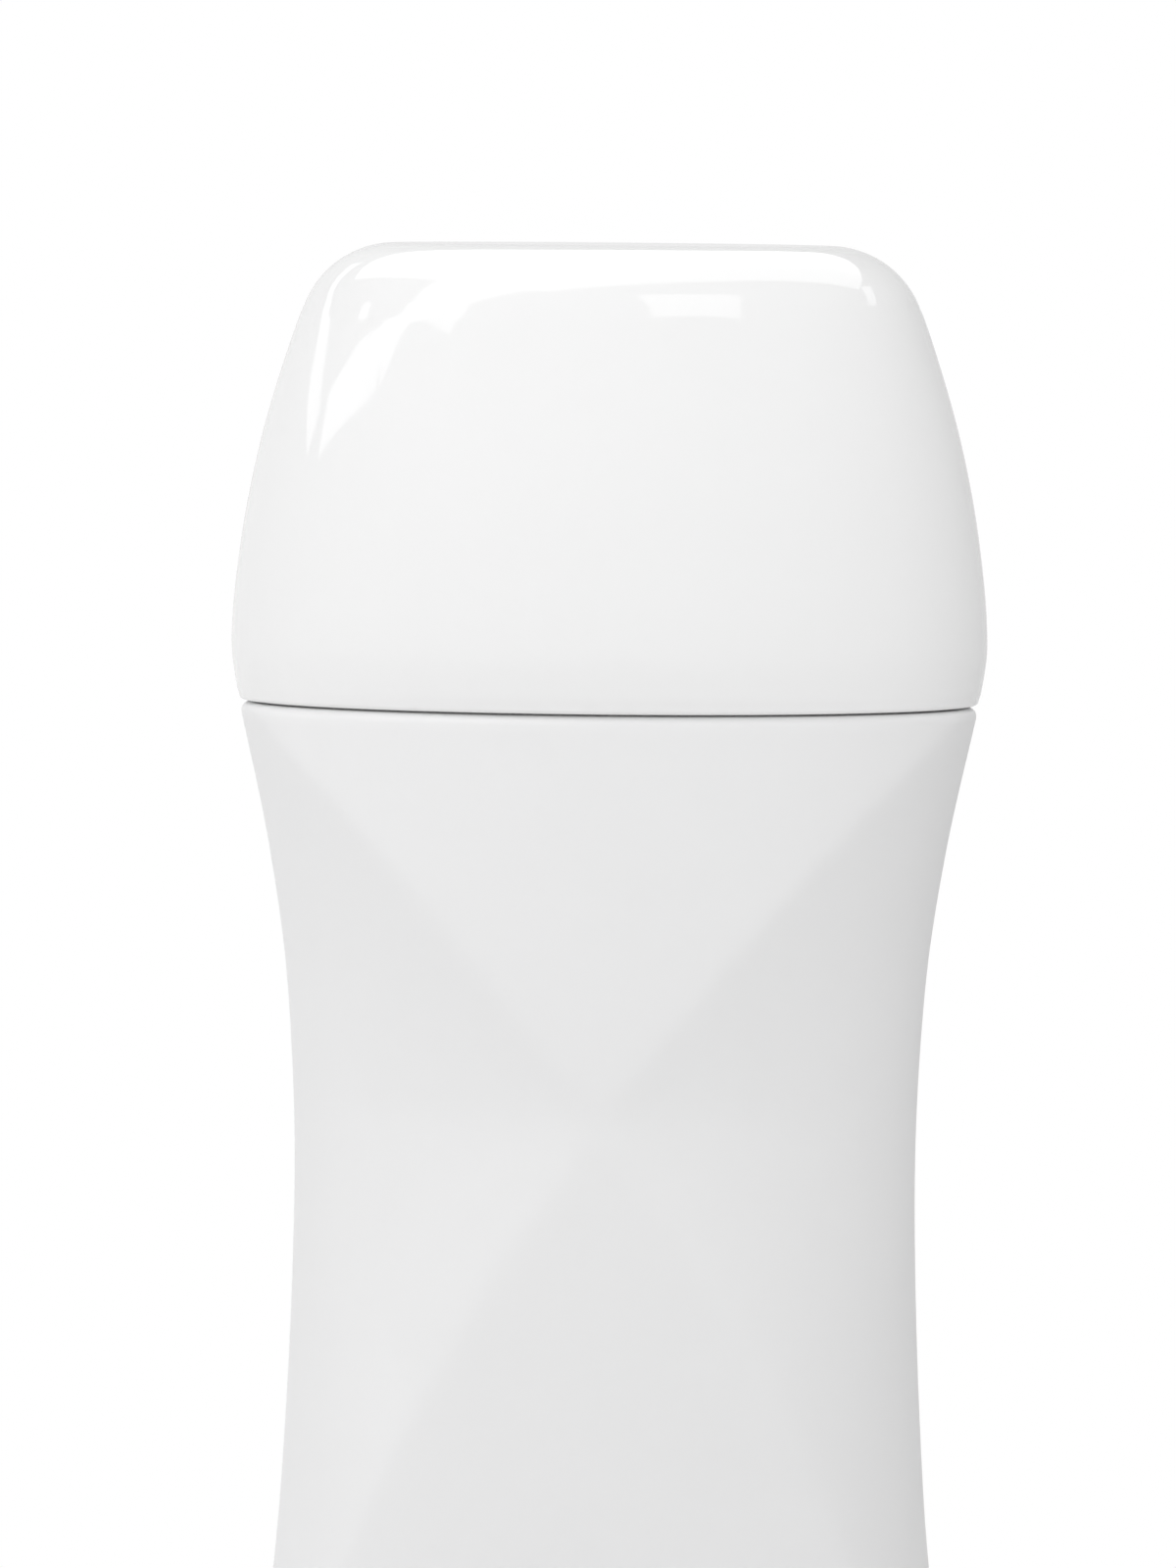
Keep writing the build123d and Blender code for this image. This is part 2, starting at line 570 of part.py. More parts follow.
with BuildPart() as indicator_led:
    with BuildSketch(Plane.XZ.offset(board_face)):
        with Locations((0, LIGHT_Z)):
            Circle(LED[0])
    extrude(amount=LED[1])
    fillet(indicator_led.edges().group_by(Axis.Y)[0], LED_DOME)
finish("indicator_led", indicator_led.part)

with BuildPart() as light_guide:
    add(posts(front_outer, [(0, LIGHT_Z)], LIGHT_RADIUS, board_face + LED[1] + 2 * FIT))
finish("light_guide", light_guide.part)

# ---------------------------------------------------------------- mains inlet
inlet_face = front_depth(INLET_Z)
inlet_back = inlet_face - INLET_BODY[2]
inlet_floor = inlet_face - INLET_DEPTH
pin_places = [(-PIN_PITCH / 2, INLET_Z), (PIN_PITCH / 2, INLET_Z)]
with BuildPart() as inlet_housing:
    with BuildSketch(Plane.XZ.offset(-inlet_back)):
        with Locations((0, INLET_Z)):
            RectangleRounded(INLET_BODY[0], INLET_BODY[1], WALL)
    extrude(amount=-2 * INLET_BODY[2])
    add(rear_outer, mode=Mode.INTERSECT)
    with BuildSketch(Plane.XZ.offset(-inlet_floor)):
        with Locations((0, INLET_Z)):
            SlotOverall(*INLET_MOUTH)
    extrude(amount=-2 * INLET_DEPTH, mode=Mode.SUBTRACT)
    with BuildSketch(Plane.XZ.offset(-inlet_back)):
        with Locations(*pin_places):
            Circle(PIN_RADIUS)
    extrude(amount=-INLET_BODY[2], mode=Mode.SUBTRACT)
finish("inlet_housing", inlet_housing.part)

with BuildPart() as inlet_pins:
    with BuildSketch(Plane.XZ.offset(-inlet_back + PIN_TAIL)):
        with Locations(*pin_places):
            Circle(PIN_RADIUS)
    extrude(amount=-(inlet_floor - inlet_back + PIN_TAIL + PIN_LENGTH))
    fillet(inlet_pins.edges().group_by(Axis.Y)[-1], PIN_NOSE)
finish("inlet_pins", inlet_pins.part)

# ---------------------------------------------------------------- base
with BuildPart() as base_plate:
    add(slab(housing_fitted.part, FOOT_Z, BASE_THICKNESS))
    with BuildSketch(Plane.XY.offset(FOOT_Z)):
        with Locations(*foot_places):
            Circle(FOOT[0])
    extrude(amount=FOOT[2], mode=Mode.SUBTRACT)
    with BuildSketch(Plane.XY.offset(FOOT_Z)):
        with Locations(*base_screw_places):
            Circle(SCREW_HEAD[0] + SCREW_FIT)
    extrude(amount=SCREW_HEAD[1], mode=Mode.SUBTRACT)
    with BuildSketch(Plane.XY.offset(FOOT_Z)):
        with Locations(*base_screw_places):
            Circle(SCREW_RADIUS + SCREW_FIT)
    extrude(amount=BASE_THICKNESS, mode=Mode.SUBTRACT)
finish("base_plate", base_plate.part)

with BuildPart() as rubber_feet:
    with BuildSketch(Plane.XY.offset(FOOT_Z + FOOT[2])):
        with Locations(*foot_places):
            Circle(FOOT[0])
    extrude(amount=-FOOT[1])
    fillet(rubber_feet.edges().group_by(Axis.Z)[0], FOOT[2] / 2)
finish("rubber_feet", rubber_feet.part)


def screws(plane, places, radius, head, reach):
    """Pan-head screws; the plane is the face under their heads, with heads on its far side."""
    length, width, depth = CROSS_SHARES
    with BuildPart() as group:
        with BuildSketch(plane):
            with Locations(*places):
                Circle(head[0])
        extrude(amount=-head[1])
        fillet(group.edges().sort_by(Axis(plane.origin, plane.z_dir))[:len(places)],
               head[1] * HEAD_ROUND_SHARE)
        with BuildSketch(plane):
            with Locations(*places):
                Circle(radius)
        extrude(amount=reach)
        with BuildSketch(plane.offset(-head[1])):
            with Locations(*places):
                Rectangle(head[0] * length, head[0] * width)
                Rectangle(head[0] * width, head[0] * length)
        extrude(amount=head[1] * depth, mode=Mode.SUBTRACT)
    return group.part


finish("base_screws", screws(Plane.XY.offset(FOOT_Z + SCREW_HEAD[1]), base_screw_places,
                             SCREW_RADIUS, SCREW_HEAD,
                             BASE_THICKNESS - SCREW_HEAD[1] + BASE_SCREW_REACH))
finish("shell_screws", screws(Plane.XZ.offset(-SHELL_SCREW_SEAT), shell_screw_places,
                              SCREW_RADIUS, SCREW_HEAD, SHELL_SCREW_SEAT + SHELL_SCREW_REACH))
finish("board_screws", screws(Plane.XZ.offset(board_face - BOARD_THICKNESS), board_screw_places,
                              BOARD_SCREW_RADIUS, BOARD_SCREW_HEAD,
                              BOARD_THICKNESS + BOARD_SCREW_REACH))

# ---------------------------------------------------------------- cartridge
with BuildPart() as cartridge_tank:
    with BuildSketch(Plane.XY.offset(TANK_BOTTOM_Z)):
        tank_outline()
    extrude(amount=DECK_Z - TANK_BOTTOM_Z)
    fillet(cartridge_tank.edges().group_by(Axis.Z)[0], 2 * TANK_WALL)
    with BuildSketch(Plane.XY.offset(TANK_BOTTOM_Z + TANK_WALL)):
        tank_outline(-TANK_WALL)
    extrude(amount=DECK_Z - TANK_BOTTOM_Z, mode=Mode.SUBTRACT)
finish("cartridge_tank", cartridge_tank.part)

with BuildPart() as wax_fill:
    with BuildSketch(Plane.XY.offset(TANK_BOTTOM_Z + TANK_WALL)):
        tank_outline(-TANK_WALL)
    extrude(amount=DECK_Z - WAX_SPACE - TANK_BOTTOM_Z - TANK_WALL)
    fillet(wax_fill.edges().group_by(Axis.Z)[0], TANK_WALL)
finish("wax_fill", wax_fill.part)

with BuildPart() as head_saddle:
    with BuildSketch(Plane.YZ.offset(-TANK_HALF_WIDTH)):
        with BuildLine():
            Polyline((-TANK_HALF_DEPTH, DECK_Z + HEAD_FLANGE),
                     (TANK_HALF_DEPTH, DECK_Z + HEAD_FLANGE),
                     (HEAD_TOP_HALF_DEPTH, DECK_Z + HEAD_HEIGHT),
                     (-HEAD_TOP_HALF_DEPTH, DECK_Z + HEAD_HEIGHT), close=True)
        make_face()
    extrude(amount=2 * TANK_HALF_WIDTH)
    fillet(head_saddle.edges().filter_by(lambda edge: edge.length > HEAD_FLANGE
                                         and abs(edge.center().Y) > HEAD_TOP_HALF_DEPTH
                                         and abs(edge.center().X) > TANK_HALF_WIDTH / 2),
           HEAD_CORNER)
    fillet(head_saddle.edges().group_by(Axis.Z)[-1], EDGE_ROUND)

with BuildPart() as cartridge_head:
    with BuildSketch(Plane.XY.offset(DECK_Z)):
        tank_outline(HEAD_LIP)
    extrude(amount=HEAD_FLANGE)
    fillet(cartridge_head.edges().group_by(Axis.Z)[-1], EDGE_ROUND)
    add(head_saddle.part)
    with BuildSketch(Plane.YZ.offset(-ROLLER_HALF_LENGTH - ROLLER_GAP)):
        with Locations((0, ROLLER_Z)):
            Circle(ROLLER_RADIUS + ROLLER_GAP)
    extrude(amount=2 * (ROLLER_HALF_LENGTH + ROLLER_GAP), mode=Mode.SUBTRACT)
    with BuildSketch(Plane.XY.offset(DECK_Z)):
        Rectangle(2 * (ROLLER_HALF_LENGTH - FEED_SLOT_MARGIN), FEED_SLOT)
    extrude(amount=HEAD_HEIGHT, mode=Mode.SUBTRACT)
    with BuildSketch(Plane.YZ.offset(-TANK_HALF_WIDTH)):
        with Locations((0, ROLLER_Z)):
            Circle(AXLE_RADIUS)
    extrude(amount=2 * TANK_HALF_WIDTH, mode=Mode.SUBTRACT)
finish("cartridge_head", cartridge_head.part)

with BuildPart() as roller_axle:
    with BuildSketch(Plane.YZ.offset(-TANK_HALF_WIDTH + FIT)):
        with Locations((0, ROLLER_Z)):
            Circle(AXLE_RADIUS)
    extrude(amount=2 * (TANK_HALF_WIDTH - FIT))
finish("roller_axle", roller_axle.part)

with BuildPart() as roller:
    with BuildSketch(Plane.YZ.offset(-ROLLER_HALF_LENGTH)):
        with Locations((0, ROLLER_Z)):
            Circle(ROLLER_RADIUS)
    extrude(amount=2 * ROLLER_HALF_LENGTH)
    fillet(roller.edges(), EDGE_ROUND)
    with BuildSketch(Plane.YZ.offset(-ROLLER_HALF_LENGTH)):
        with Locations((0, ROLLER_Z)):
            Circle(AXLE_RADIUS + AXLE_FIT)
    extrude(amount=2 * ROLLER_HALF_LENGTH, mode=Mode.SUBTRACT)
finish("roller", roller.part)
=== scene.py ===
"""Looks of a roll-on wax heater: a satin white housing with a faceted front, a glossy pull-off
cap, and the wax cartridge with its roller head inside.  Lengths are in millimetres, apart from
the studio's, which are in metres."""
import json
import math

import bmesh
import bpy
from mathutils import Matrix, Vector


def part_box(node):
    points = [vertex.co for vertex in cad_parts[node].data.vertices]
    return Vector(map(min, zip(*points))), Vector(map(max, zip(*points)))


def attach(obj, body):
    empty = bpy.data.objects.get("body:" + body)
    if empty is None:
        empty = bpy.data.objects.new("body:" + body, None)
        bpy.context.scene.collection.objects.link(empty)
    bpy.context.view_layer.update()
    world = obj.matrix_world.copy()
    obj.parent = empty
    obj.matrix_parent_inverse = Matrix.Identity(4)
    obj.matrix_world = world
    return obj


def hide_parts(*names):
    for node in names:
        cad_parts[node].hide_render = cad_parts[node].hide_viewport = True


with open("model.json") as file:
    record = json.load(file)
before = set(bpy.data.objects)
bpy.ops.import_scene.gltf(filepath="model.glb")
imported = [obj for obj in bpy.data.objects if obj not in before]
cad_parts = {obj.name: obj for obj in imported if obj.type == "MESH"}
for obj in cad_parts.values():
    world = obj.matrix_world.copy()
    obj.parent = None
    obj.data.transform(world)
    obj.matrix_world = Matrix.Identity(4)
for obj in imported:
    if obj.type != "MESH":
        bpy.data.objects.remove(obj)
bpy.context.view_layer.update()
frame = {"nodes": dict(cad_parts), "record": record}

MM = 0.001
NEAR = 1e-4                             # points closer than this are one point
SHARP_ANGLE = 38                        # edges that turn by more degrees are shaded sharp

# ---------------------------------------------------------------- sizes of the housing
HOUSING_STATIONS = ((1.0, 35.2), (20.0, 36.0), (40.0, 34.2), (62.0, 32.0), (92.0, 30.85),
                    (112.0, 31.65), (126.0, 33.6), (140.0, 36.6))   # height, half width
FOOT_Z, RIM_Z = HOUSING_STATIONS[0][0], HOUSING_STATIONS[-1][0]
RIM_HALF_WIDTH, RIM_HALF_DEPTH = 36.6, 26.0
WAIST_Z, WAIST_HALF_DEPTH, FOOT_HALF_DEPTH = 100.9, 27.0, 25.6
FRONT_OVERHANG = 0.5                    # how far the main front curve would pass the rim
FACET_GROWTH_UP, FACET_GROWTH_DOWN = 0.246, 0.183   # how steeply the side facets leave the X
FACET_APEX, FACET_SPREAD = 1.4, 0.9     # softness of the X's middle, and how it spreads out
FACET_FULLNESS = 1.45                   # section of a side facet; 2 is a true oval
FULLNESS_GAIN_UP, FULLNESS_GAIN_DOWN = 0.308, 0.887
CREASE_SOFTNESS = 0.2
WALL = 2.0                              # of the housing and of the cap
SHELL_EDGE = 0.5                        # rounding at the foot
SHELL_TOP, RIM_EDGE = RIM_Z + 0.4, 1.1  # top of the moulded rim and its rounding
PARTING_CUT = 0.25                      # depth of the fine groove where the shells meet
SHELL_COLUMNS, OUTER_ROWS, INNER_ROWS, EDGE_ROWS = 160, 168, 46, 5

# ---------------------------------------------------------------- sizes of the cap
CAP_GAP = 0.4                           # from the housing's rim to the cap's heights
CAP_STATIONS = ((0.0, 36.7), (6.0, 37.5), (16.0, 36.65), (26.0, 34.75), (36.0, 31.8),
                (45.6, 28.2))           # height above the cap's rim, half width
CAP_DEPTH_STEP = RIM_HALF_WIDTH - RIM_HALF_DEPTH    # half width less half depth, all the way up
CAP_SHOULDER = 9.6                      # rounding between wall and top
CAP_WALL_ROWS, CAP_SHOULDER_ROWS, CAP_TOP_ROWS = 60, 26, 14
CAP_SEGMENTS = 192
CROWN_CENTRE = 0.01                     # the ring that closes the cap's inside
CAP_LOW, CAP_EDGE = 0.2, 0.5            # start and rounding of the cap's lower edge

# ---------------------------------------------------------------- sizes of smaller things
FIT = 0.15                              # clearance round pieces let into the shells
HOLE_SEGMENTS, WELL_SEGMENTS, SLOT_SEGMENTS = 72, 48, 64
TURN_STEPS = 96                         # round a turned piece
BUTTON_DISH, DISH_ROWS = 0.45, 14       # depth of the hollow for the finger
BUTTON_EDGE, BUTTON_EDGE_ROWS = 0.8, 6
BUTTON_FLANGE, FLANGE_GAP = 1.2, 0.3    # flange, and its play behind the surround
BUTTON_STEM = 2.0                       # radius of the stem that meets the switch
MARK_RADIUS, MARK_STROKE, MARK_RISE = 2.3, 0.55, 0.12
MARK_START, MARK_SWEEP, MARK_STEPS = 40, 280, 56    # the open ring, in degrees
MARK_BAR_RISE = 0.8                     # middle of the bar, as a share of the ring's radius
BEZEL_WALL, BEZEL_EDGE, BEZEL_SEGMENTS = 1.8, 0.45, 96
INLET_CORNER, INLET_EDGE, INLET_SEGMENTS = 2.0, 0.6, 96
INLET_MOUTH = (14.4, 8.4)               # width and height
INLET_DEPTH = 12.0
ROUND_END = 0.01                        # straight left at the ends of slots and mouths
WINDOW_WIDTH, WINDOW_HEIGHT, WINDOW_Z = 8.0, 44.0, 96.0
SCREW_WELL_RADIUS, SCREW_WELL_SEAT, SCREW_POST_RADIUS = 2.7, 9.0, 3.4
SCREW_HEAD_GAP = 0.2                    # from a screw's head to the wall of its well
WAX_CORNER, WAX_EDGE, WAX_ROWS, WAX_SEGMENTS = 8.8, 1.2, 24, 128
MENISCUS, MENISCUS_ROWS, MENISCUS_FALL = 0.9, 12, 3.5   # wax drawn up along the tank's wall
WAX_CROWN, WAX_CROWN_CORNER = 1.0, 0.8  # innermost ring of the wax's surface


def span(node):
    """Lowest corner, highest corner and middle of a node of the frame."""
    low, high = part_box(node)
    return low / MM, high / MM, (low + high) / (2 * MM)


def through(stations, at):
    """A smooth value through (place, value) stations."""
    slopes = []
    for i in range(len(stations)):
        a, b = stations[max(i - 1, 0)], stations[min(i + 1, len(stations) - 1)]
        slopes.append((b[1] - a[1]) / (b[0] - a[0]))
    for (a, b), (m, n) in zip(zip(stations, stations[1:]), zip(slopes, slopes[1:])):
        if at <= b[0]:
            h = b[0] - a[0]
            t = max((at - a[0]) / h, 0.0)
            return ((2 * t**3 - 3 * t**2 + 1) * a[1] + (t**3 - 2 * t**2 + t) * h * m
                    + (3 * t**2 - 2 * t**3) * b[1] + (t**3 - t**2) * h * n)
    return stations[-1][1]


# ---------------------------------------------------------------- form of the housing
def main_depth(z):
    """Half depth of the main front curve, and of the back."""
    if z > WAIST_Z:
        drop, share = WAIST_HALF_DEPTH - RIM_HALF_DEPTH, (z - WAIST_Z) / (RIM_Z - WAIST_Z)
    else:
        drop, share = WAIST_HALF_DEPTH - FOOT_HALF_DEPTH, (WAIST_Z - z) / (WAIST_Z - FOOT_Z)
    return WAIST_HALF_DEPTH - drop * share ** 2


def front_depth(x, z):
    """Depth of the faceted front: the lesser of the main curve and the side facets, blended
    over a soft crease."""
    half_width = through(HOUSING_STATIONS, z)
    main = main_depth(z) * math.sqrt(1 - (x / (RIM_HALF_WIDTH + FRONT_OVERHANG)) ** 2)
    away, above = abs(z - WAIST_Z), z > WAIST_Z
    reach = RIM_Z - WAIST_Z if above else WAIST_Z - FOOT_Z
    growth = FACET_GROWTH_UP if above else FACET_GROWTH_DOWN
    gain = FULLNESS_GAIN_UP if above else FULLNESS_GAIN_DOWN
    soft = FACET_APEX + FACET_SPREAD * abs(x)
    ridge = WAIST_HALF_DEPTH + growth * (math.hypot(away, soft) - soft)
    out = min(abs(x) / half_width, 1.0)
    side = ridge * math.sqrt(1 - out ** (FACET_FULLNESS + gain * away / reach))
    return max((main + side - math.hypot(main - side, CREASE_SOFTNESS)) / 2, 0.0)


def front_surface(c, s, z):
    """Point of the front for a direction round the housing, as a cosine and a sine.  The depth
    follows from the cosine alone."""
    x = through(HOUSING_STATIONS, z) * c
    return x, -front_depth(x, z)


def back_surface(c, s, z):
    """Point of the back for such a direction."""
    return through(HOUSING_STATIONS, z) * c, main_depth(z) * s


def back_depth(x, z):
    return main_depth(z) * math.sqrt(1 - (x / through(HOUSING_STATIONS, z)) ** 2)


# ---------------------------------------------------------------- making pieces
def to_object(name, bm):
    """A new object from a bmesh in millimetres, its place in its mesh."""
    bmesh.ops.recalc_face_normals(bm, faces=bm.faces)
    bmesh.ops.scale(bm, vec=(MM, MM, MM), verts=bm.verts)
    mesh = bpy.data.meshes.new(name)
    bm.to_mesh(mesh)
    bm.free()
    made = bpy.data.objects.new(name, mesh)
    bpy.context.scene.collection.objects.link(made)
    return made


def dress(made, body, finish, replaced=None):
    """Rides a finished piece on its body, in place of a node where one is named."""
    mesh = made.data
    mesh.materials.clear()
    mesh.materials.append(finishes[finish])
    mesh.shade_smooth()
    mesh.set_sharp_from_angle(angle=math.radians(SHARP_ANGLE))
    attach(made, body)
    if replaced:
        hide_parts(replaced)


def combine(target, tools, operation="DIFFERENCE"):
    """Cuts closed shapes out of a piece, or joins them to it."""
    for tool in tools:
        step = target.modifiers.new(operation, "BOOLEAN")
        step.operation = operation
        step.solver = "EXACT"
        step.object = tool
    bpy.context.view_layer.update()
    seen = target.evaluated_get(bpy.context.evaluated_depsgraph_get())
    mesh = bpy.data.meshes.new_from_object(seen)
    target.modifiers.clear()
    target.data = mesh
    for tool in tools:
        bpy.data.objects.remove(tool)


def grown_rows(bm, row, places):
    """Extrudes a row of edges once for each further place.  Gives the last row, and the place
    that each corner belongs to."""
    place_of = dict.fromkeys(bm.verts, places[0])
    for place in places[1:]:
        grown = bmesh.ops.extrude_edge_only(bm, edges=row)["geom"]
        fresh = {g for g in grown if isinstance(g, bmesh.types.BMVert)}
        row = [g for g in grown if isinstance(g, bmesh.types.BMEdge) and set(g.verts) <= fresh]
        place_of.update(dict.fromkeys(fresh, place))
    return row, place_of


def stacked(rings, segments, closed=True):
    """A skin through rings, its two ends closed or left open.  A ring is a function that puts a
    direction, as a cosine and a sine, in place."""
    bm = bmesh.new()
    bmesh.ops.create_circle(bm, segments=segments, radius=1.0)
    bmesh.ops.rotate(bm, verts=bm.verts, matrix=Matrix.Rotation(math.pi / segments, 3, "Z"))
    first_row = list(bm.edges)
    last_row, ring_of = grown_rows(bm, first_row, rings)
    for vert, ring in ring_of.items():
        vert.co = ring(vert.co.x, vert.co.y)
    if closed:
        bmesh.ops.contextual_create(bm, geom=first_row)
        bmesh.ops.contextual_create(bm, geom=last_row)
    return bm


def oval(half_width, half_depth):
    return lambda c, s: (half_width * c, half_depth * s)


def oblong(half_width, half_depth, corner):
    """A rectangle with round corners."""
    return lambda c, s: (math.copysign(half_width - corner, c) + corner * c,
                         math.copysign(half_depth - corner, s) + corner * s)


def level(outline, z):
    """A level ring at a height."""
    return lambda c, s: Vector((*outline(c, s), z))


def upright(outline, y, middle_z, surface=None):
    """A ring that faces front or back, laid against a surface where one is given."""
    def place(c, s):
        across, up = outline(c, s)
        z = middle_z + up
        return Vector((across, y + (surface(across, z) if surface else 0.0), z))
    return place


def quarter(radius, steps):
    """(inset, rise) along a quarter round, from a wall to the face it turns into."""
    turns = [math.pi / 2 * i / steps for i in range(steps + 1)]
    return [(radius * (1 - math.cos(t)), radius * math.sin(t)) for t in turns]


def bar(outline, y_start, y_end, middle_z, segments):
    """A straight prism along Y."""
    return stacked([upright(outline, y_start, middle_z), upright(outline, y_end, middle_z)],
                   segments)


def turned(profile, middle_z):
    """A body turned about a Y axis.  The profile runs from the axis, (radius, y)."""
    bm = bmesh.new()
    verts = [bm.verts.new((radius, y, middle_z)) for radius, y in profile]
    edges = [bm.edges.new(pair) for pair in zip(verts, verts[1:])]
    bmesh.ops.spin(bm, geom=verts + edges, cent=(0, 0, middle_z), axis=(0, 1, 0),
                   angle=2 * math.pi, steps=TURN_STEPS, use_merge=True)
    bmesh.ops.remove_doubles(bm, verts=bm.verts, dist=NEAR)
    return bm


# ---------------------------------------------------------------- surface effects
FLOAT, VECTOR, COLOR = "NodeSocketFloat", "NodeSocketVector", "NodeSocketColor"
NOISE_LOW, NOISE_HIGH = 0.3, 0.7        # where nearly all of a noise's values lie
SLANT_BLEND = 0.35                      # how early a thin wall closes towards its edges


def new_group(name, inputs, outputs):
    """A shader node group with named sockets."""
    group = bpy.data.node_groups.new(name, "ShaderNodeTree")
    for socket, kind, value in inputs:
        made = group.interface.new_socket(socket, in_out="INPUT", socket_type=kind)
        if value is not None:
            made.default_value = value
    for socket, kind in outputs:
        group.interface.new_socket(socket, in_out="OUTPUT", socket_type=kind)
    return group, group.nodes.new("NodeGroupInput"), group.nodes.new("NodeGroupOutput")


def add_node(tree, kind, values=None, **settings):
    made = tree.nodes.new("ShaderNode" + kind)
    for name, value in settings.items():
        setattr(made, name, value)
    for socket, value in (values or {}).items():
        made.inputs[socket].default_value = value
    return made


def scaled_range(tree, source, low, high, new_low, new_high):
    """Maps a value from one range to another."""
    made = add_node(tree, "MapRange", {"From Min": low, "From Max": high,
                                       "To Min": new_low, "To Max": new_high})
    tree.links.new(source, made.inputs["Value"])
    return made.outputs["Result"]


def vary_by(group, given, out, noise):
    """Changes a group's colour and roughness a little, up and down with a noise."""
    link = group.links.new
    spread = scaled_range(group, noise.outputs["Fac"], NOISE_LOW, NOISE_HIGH, -1.0, 1.0)
    rougher = add_node(group, "Math", operation="MULTIPLY_ADD")
    link(spread, rougher.inputs[0])
    link(given.outputs["Roughness Change"], rougher.inputs[1])
    link(given.outputs["Roughness"], rougher.inputs[2])
    link(rougher.outputs[0], out.inputs["Roughness"])
    tone = add_node(group, "Math", {2: 1.0}, operation="MULTIPLY_ADD")
    link(spread, tone.inputs[0])
    link(given.outputs["Tone Change"], tone.inputs[1])
    tinted = add_node(group, "VectorMath", operation="SCALE")
    link(given.outputs["Color"], tinted.inputs[0])
    link(tone.outputs[0], tinted.inputs["Scale"])
    link(tinted.outputs[0], out.inputs["Color"])


def moulded_skin_group():
    """Spark-eroded mould texture with faint flow and handling marks."""
    group, given, out = new_group(
        "moulded_skin",
        (("Vector", VECTOR, None), ("Grain Size", FLOAT, 0.3), ("Color", COLOR, None),
         ("Tone Change", FLOAT, 0.02), ("Roughness", FLOAT, 0.4),
         ("Roughness Change", FLOAT, 0.05)),
        (("Color", COLOR), ("Roughness", FLOAT), ("Height", FLOAT)))
    link = group.links.new
    per_metre = add_node(group, "Math", {0: 1 / MM}, operation="DIVIDE")
    link(given.outputs["Grain Size"], per_metre.inputs[1])
    grain = add_node(group, "TexNoise", {"Detail": 3.0, "Roughness": 0.6})
    link(given.outputs["Vector"], grain.inputs["Vector"])
    link(per_metre.outputs[0], grain.inputs["Scale"])
    pits = add_node(group, "TexVoronoi", feature="SMOOTH_F1")
    link(given.outputs["Vector"], pits.inputs["Vector"])
    link(per_metre.outputs[0], pits.inputs["Scale"])
    height = add_node(group, "Mix", {"Factor": 0.4}, data_type="FLOAT")
    link(grain.outputs["Fac"], height.inputs["A"])
    link(pits.outputs["Distance"], height.inputs["B"])
    link(height.outputs["Result"], out.inputs["Height"])
    marks = add_node(group, "TexNoise", {"Scale": 55.0, "Detail": 5.0, "Roughness": 0.55,
                                         "Distortion": 0.8})
    link(given.outputs["Vector"], marks.inputs["Vector"])
    vary_by(group, given, out, marks)
    return group


def brushed_group():
    """Fine parallel lines left by brushing, drawing or turning, longest along one axis."""
    group, given, out = new_group(
        "brushed_lines",
        (("Vector", VECTOR, None), ("Stretch", VECTOR, (1.0, 1.0, 1.0)), ("Color", COLOR, None),
         ("Tone Change", FLOAT, 0.08), ("Roughness", FLOAT, 0.3),
         ("Roughness Change", FLOAT, 0.08)),
        (("Color", COLOR), ("Roughness", FLOAT), ("Height", FLOAT)))
    link = group.links.new
    drawn = add_node(group, "VectorMath", operation="MULTIPLY")
    link(given.outputs["Vector"], drawn.inputs[0])
    link(given.outputs["Stretch"], drawn.inputs[1])
    lines = add_node(group, "TexNoise", {"Scale": 1.0, "Detail": 4.0, "Roughness": 0.7})
    link(drawn.outputs[0], lines.inputs["Vector"])
    link(lines.outputs["Fac"], out.inputs["Height"])
    vary_by(group, given, out, lines)
    return group


MOULDED, BRUSHED = moulded_skin_group(), brushed_group()


# ---------------------------------------------------------------- materials
def finish_with(name, group, color, roughness, settings, bump, bump_size, even):
    """A material whose colour, roughness and relief come from an effect group.  `even` holds
    the values that are the same all over it."""
    made = bpy.data.materials.new(name)
    made.use_nodes = True
    tree = made.node_tree
    shader = tree.nodes["Principled BSDF"]
    for socket, value in even.items():
        shader.inputs[socket].default_value = value
    place = add_node(tree, "TexCoord")
    effect = tree.nodes.new("ShaderNodeGroup")
    effect.node_tree = group
    effect.inputs["Color"].default_value = (*color, 1)
    effect.inputs["Roughness"].default_value = roughness
    for socket, value in settings.items():
        effect.inputs[socket].default_value = value
    tree.links.new(place.outputs["Object"], effect.inputs["Vector"])
    tree.links.new(effect.outputs["Color"], shader.inputs["Base Color"])
    tree.links.new(effect.outputs["Roughness"], shader.inputs["Roughness"])
    relief = add_node(tree, "Bump", {"Strength": bump, "Distance": bump_size * MM})
    tree.links.new(effect.outputs["Height"], relief.inputs["Height"])
    tree.links.new(relief.outputs["Normal"], shader.inputs["Normal"])
    return made


def moulded(name, color, roughness, grain=0.3, tone=0.02, change=0.05, bump=0.25,
            bump_size=0.05, **even):
    """Moulded plastic or rubber."""
    return finish_with(name, MOULDED, color, roughness,
                       {"Grain Size": grain, "Tone Change": tone, "Roughness Change": change},
                       bump, bump_size, {k.replace("_", " "): v for k, v in even.items()})


def brushed(name, color, roughness, stretch, tone=0.08, change=0.08, bump=0.2,
            bump_size=0.03):
    """Metal with lines along the axis whose stretch is least."""
    return finish_with(name, BRUSHED, color, roughness,
                       {"Stretch": stretch, "Tone Change": tone, "Roughness Change": change},
                       bump, bump_size, {"Metallic": 1.0})


def see_through(material, facing, glancing):
    """Lets light through a thin wall: most where it is seen square on, least at its edges."""
    tree = material.node_tree
    slant = add_node(tree, "LayerWeight", {"Blend": SLANT_BLEND})
    cover = scaled_range(tree, slant.outputs["Facing"], 0.0, 1.0, facing, glancing)
    tree.links.new(cover, tree.nodes["Principled BSDF"].inputs["Alpha"])
    return material


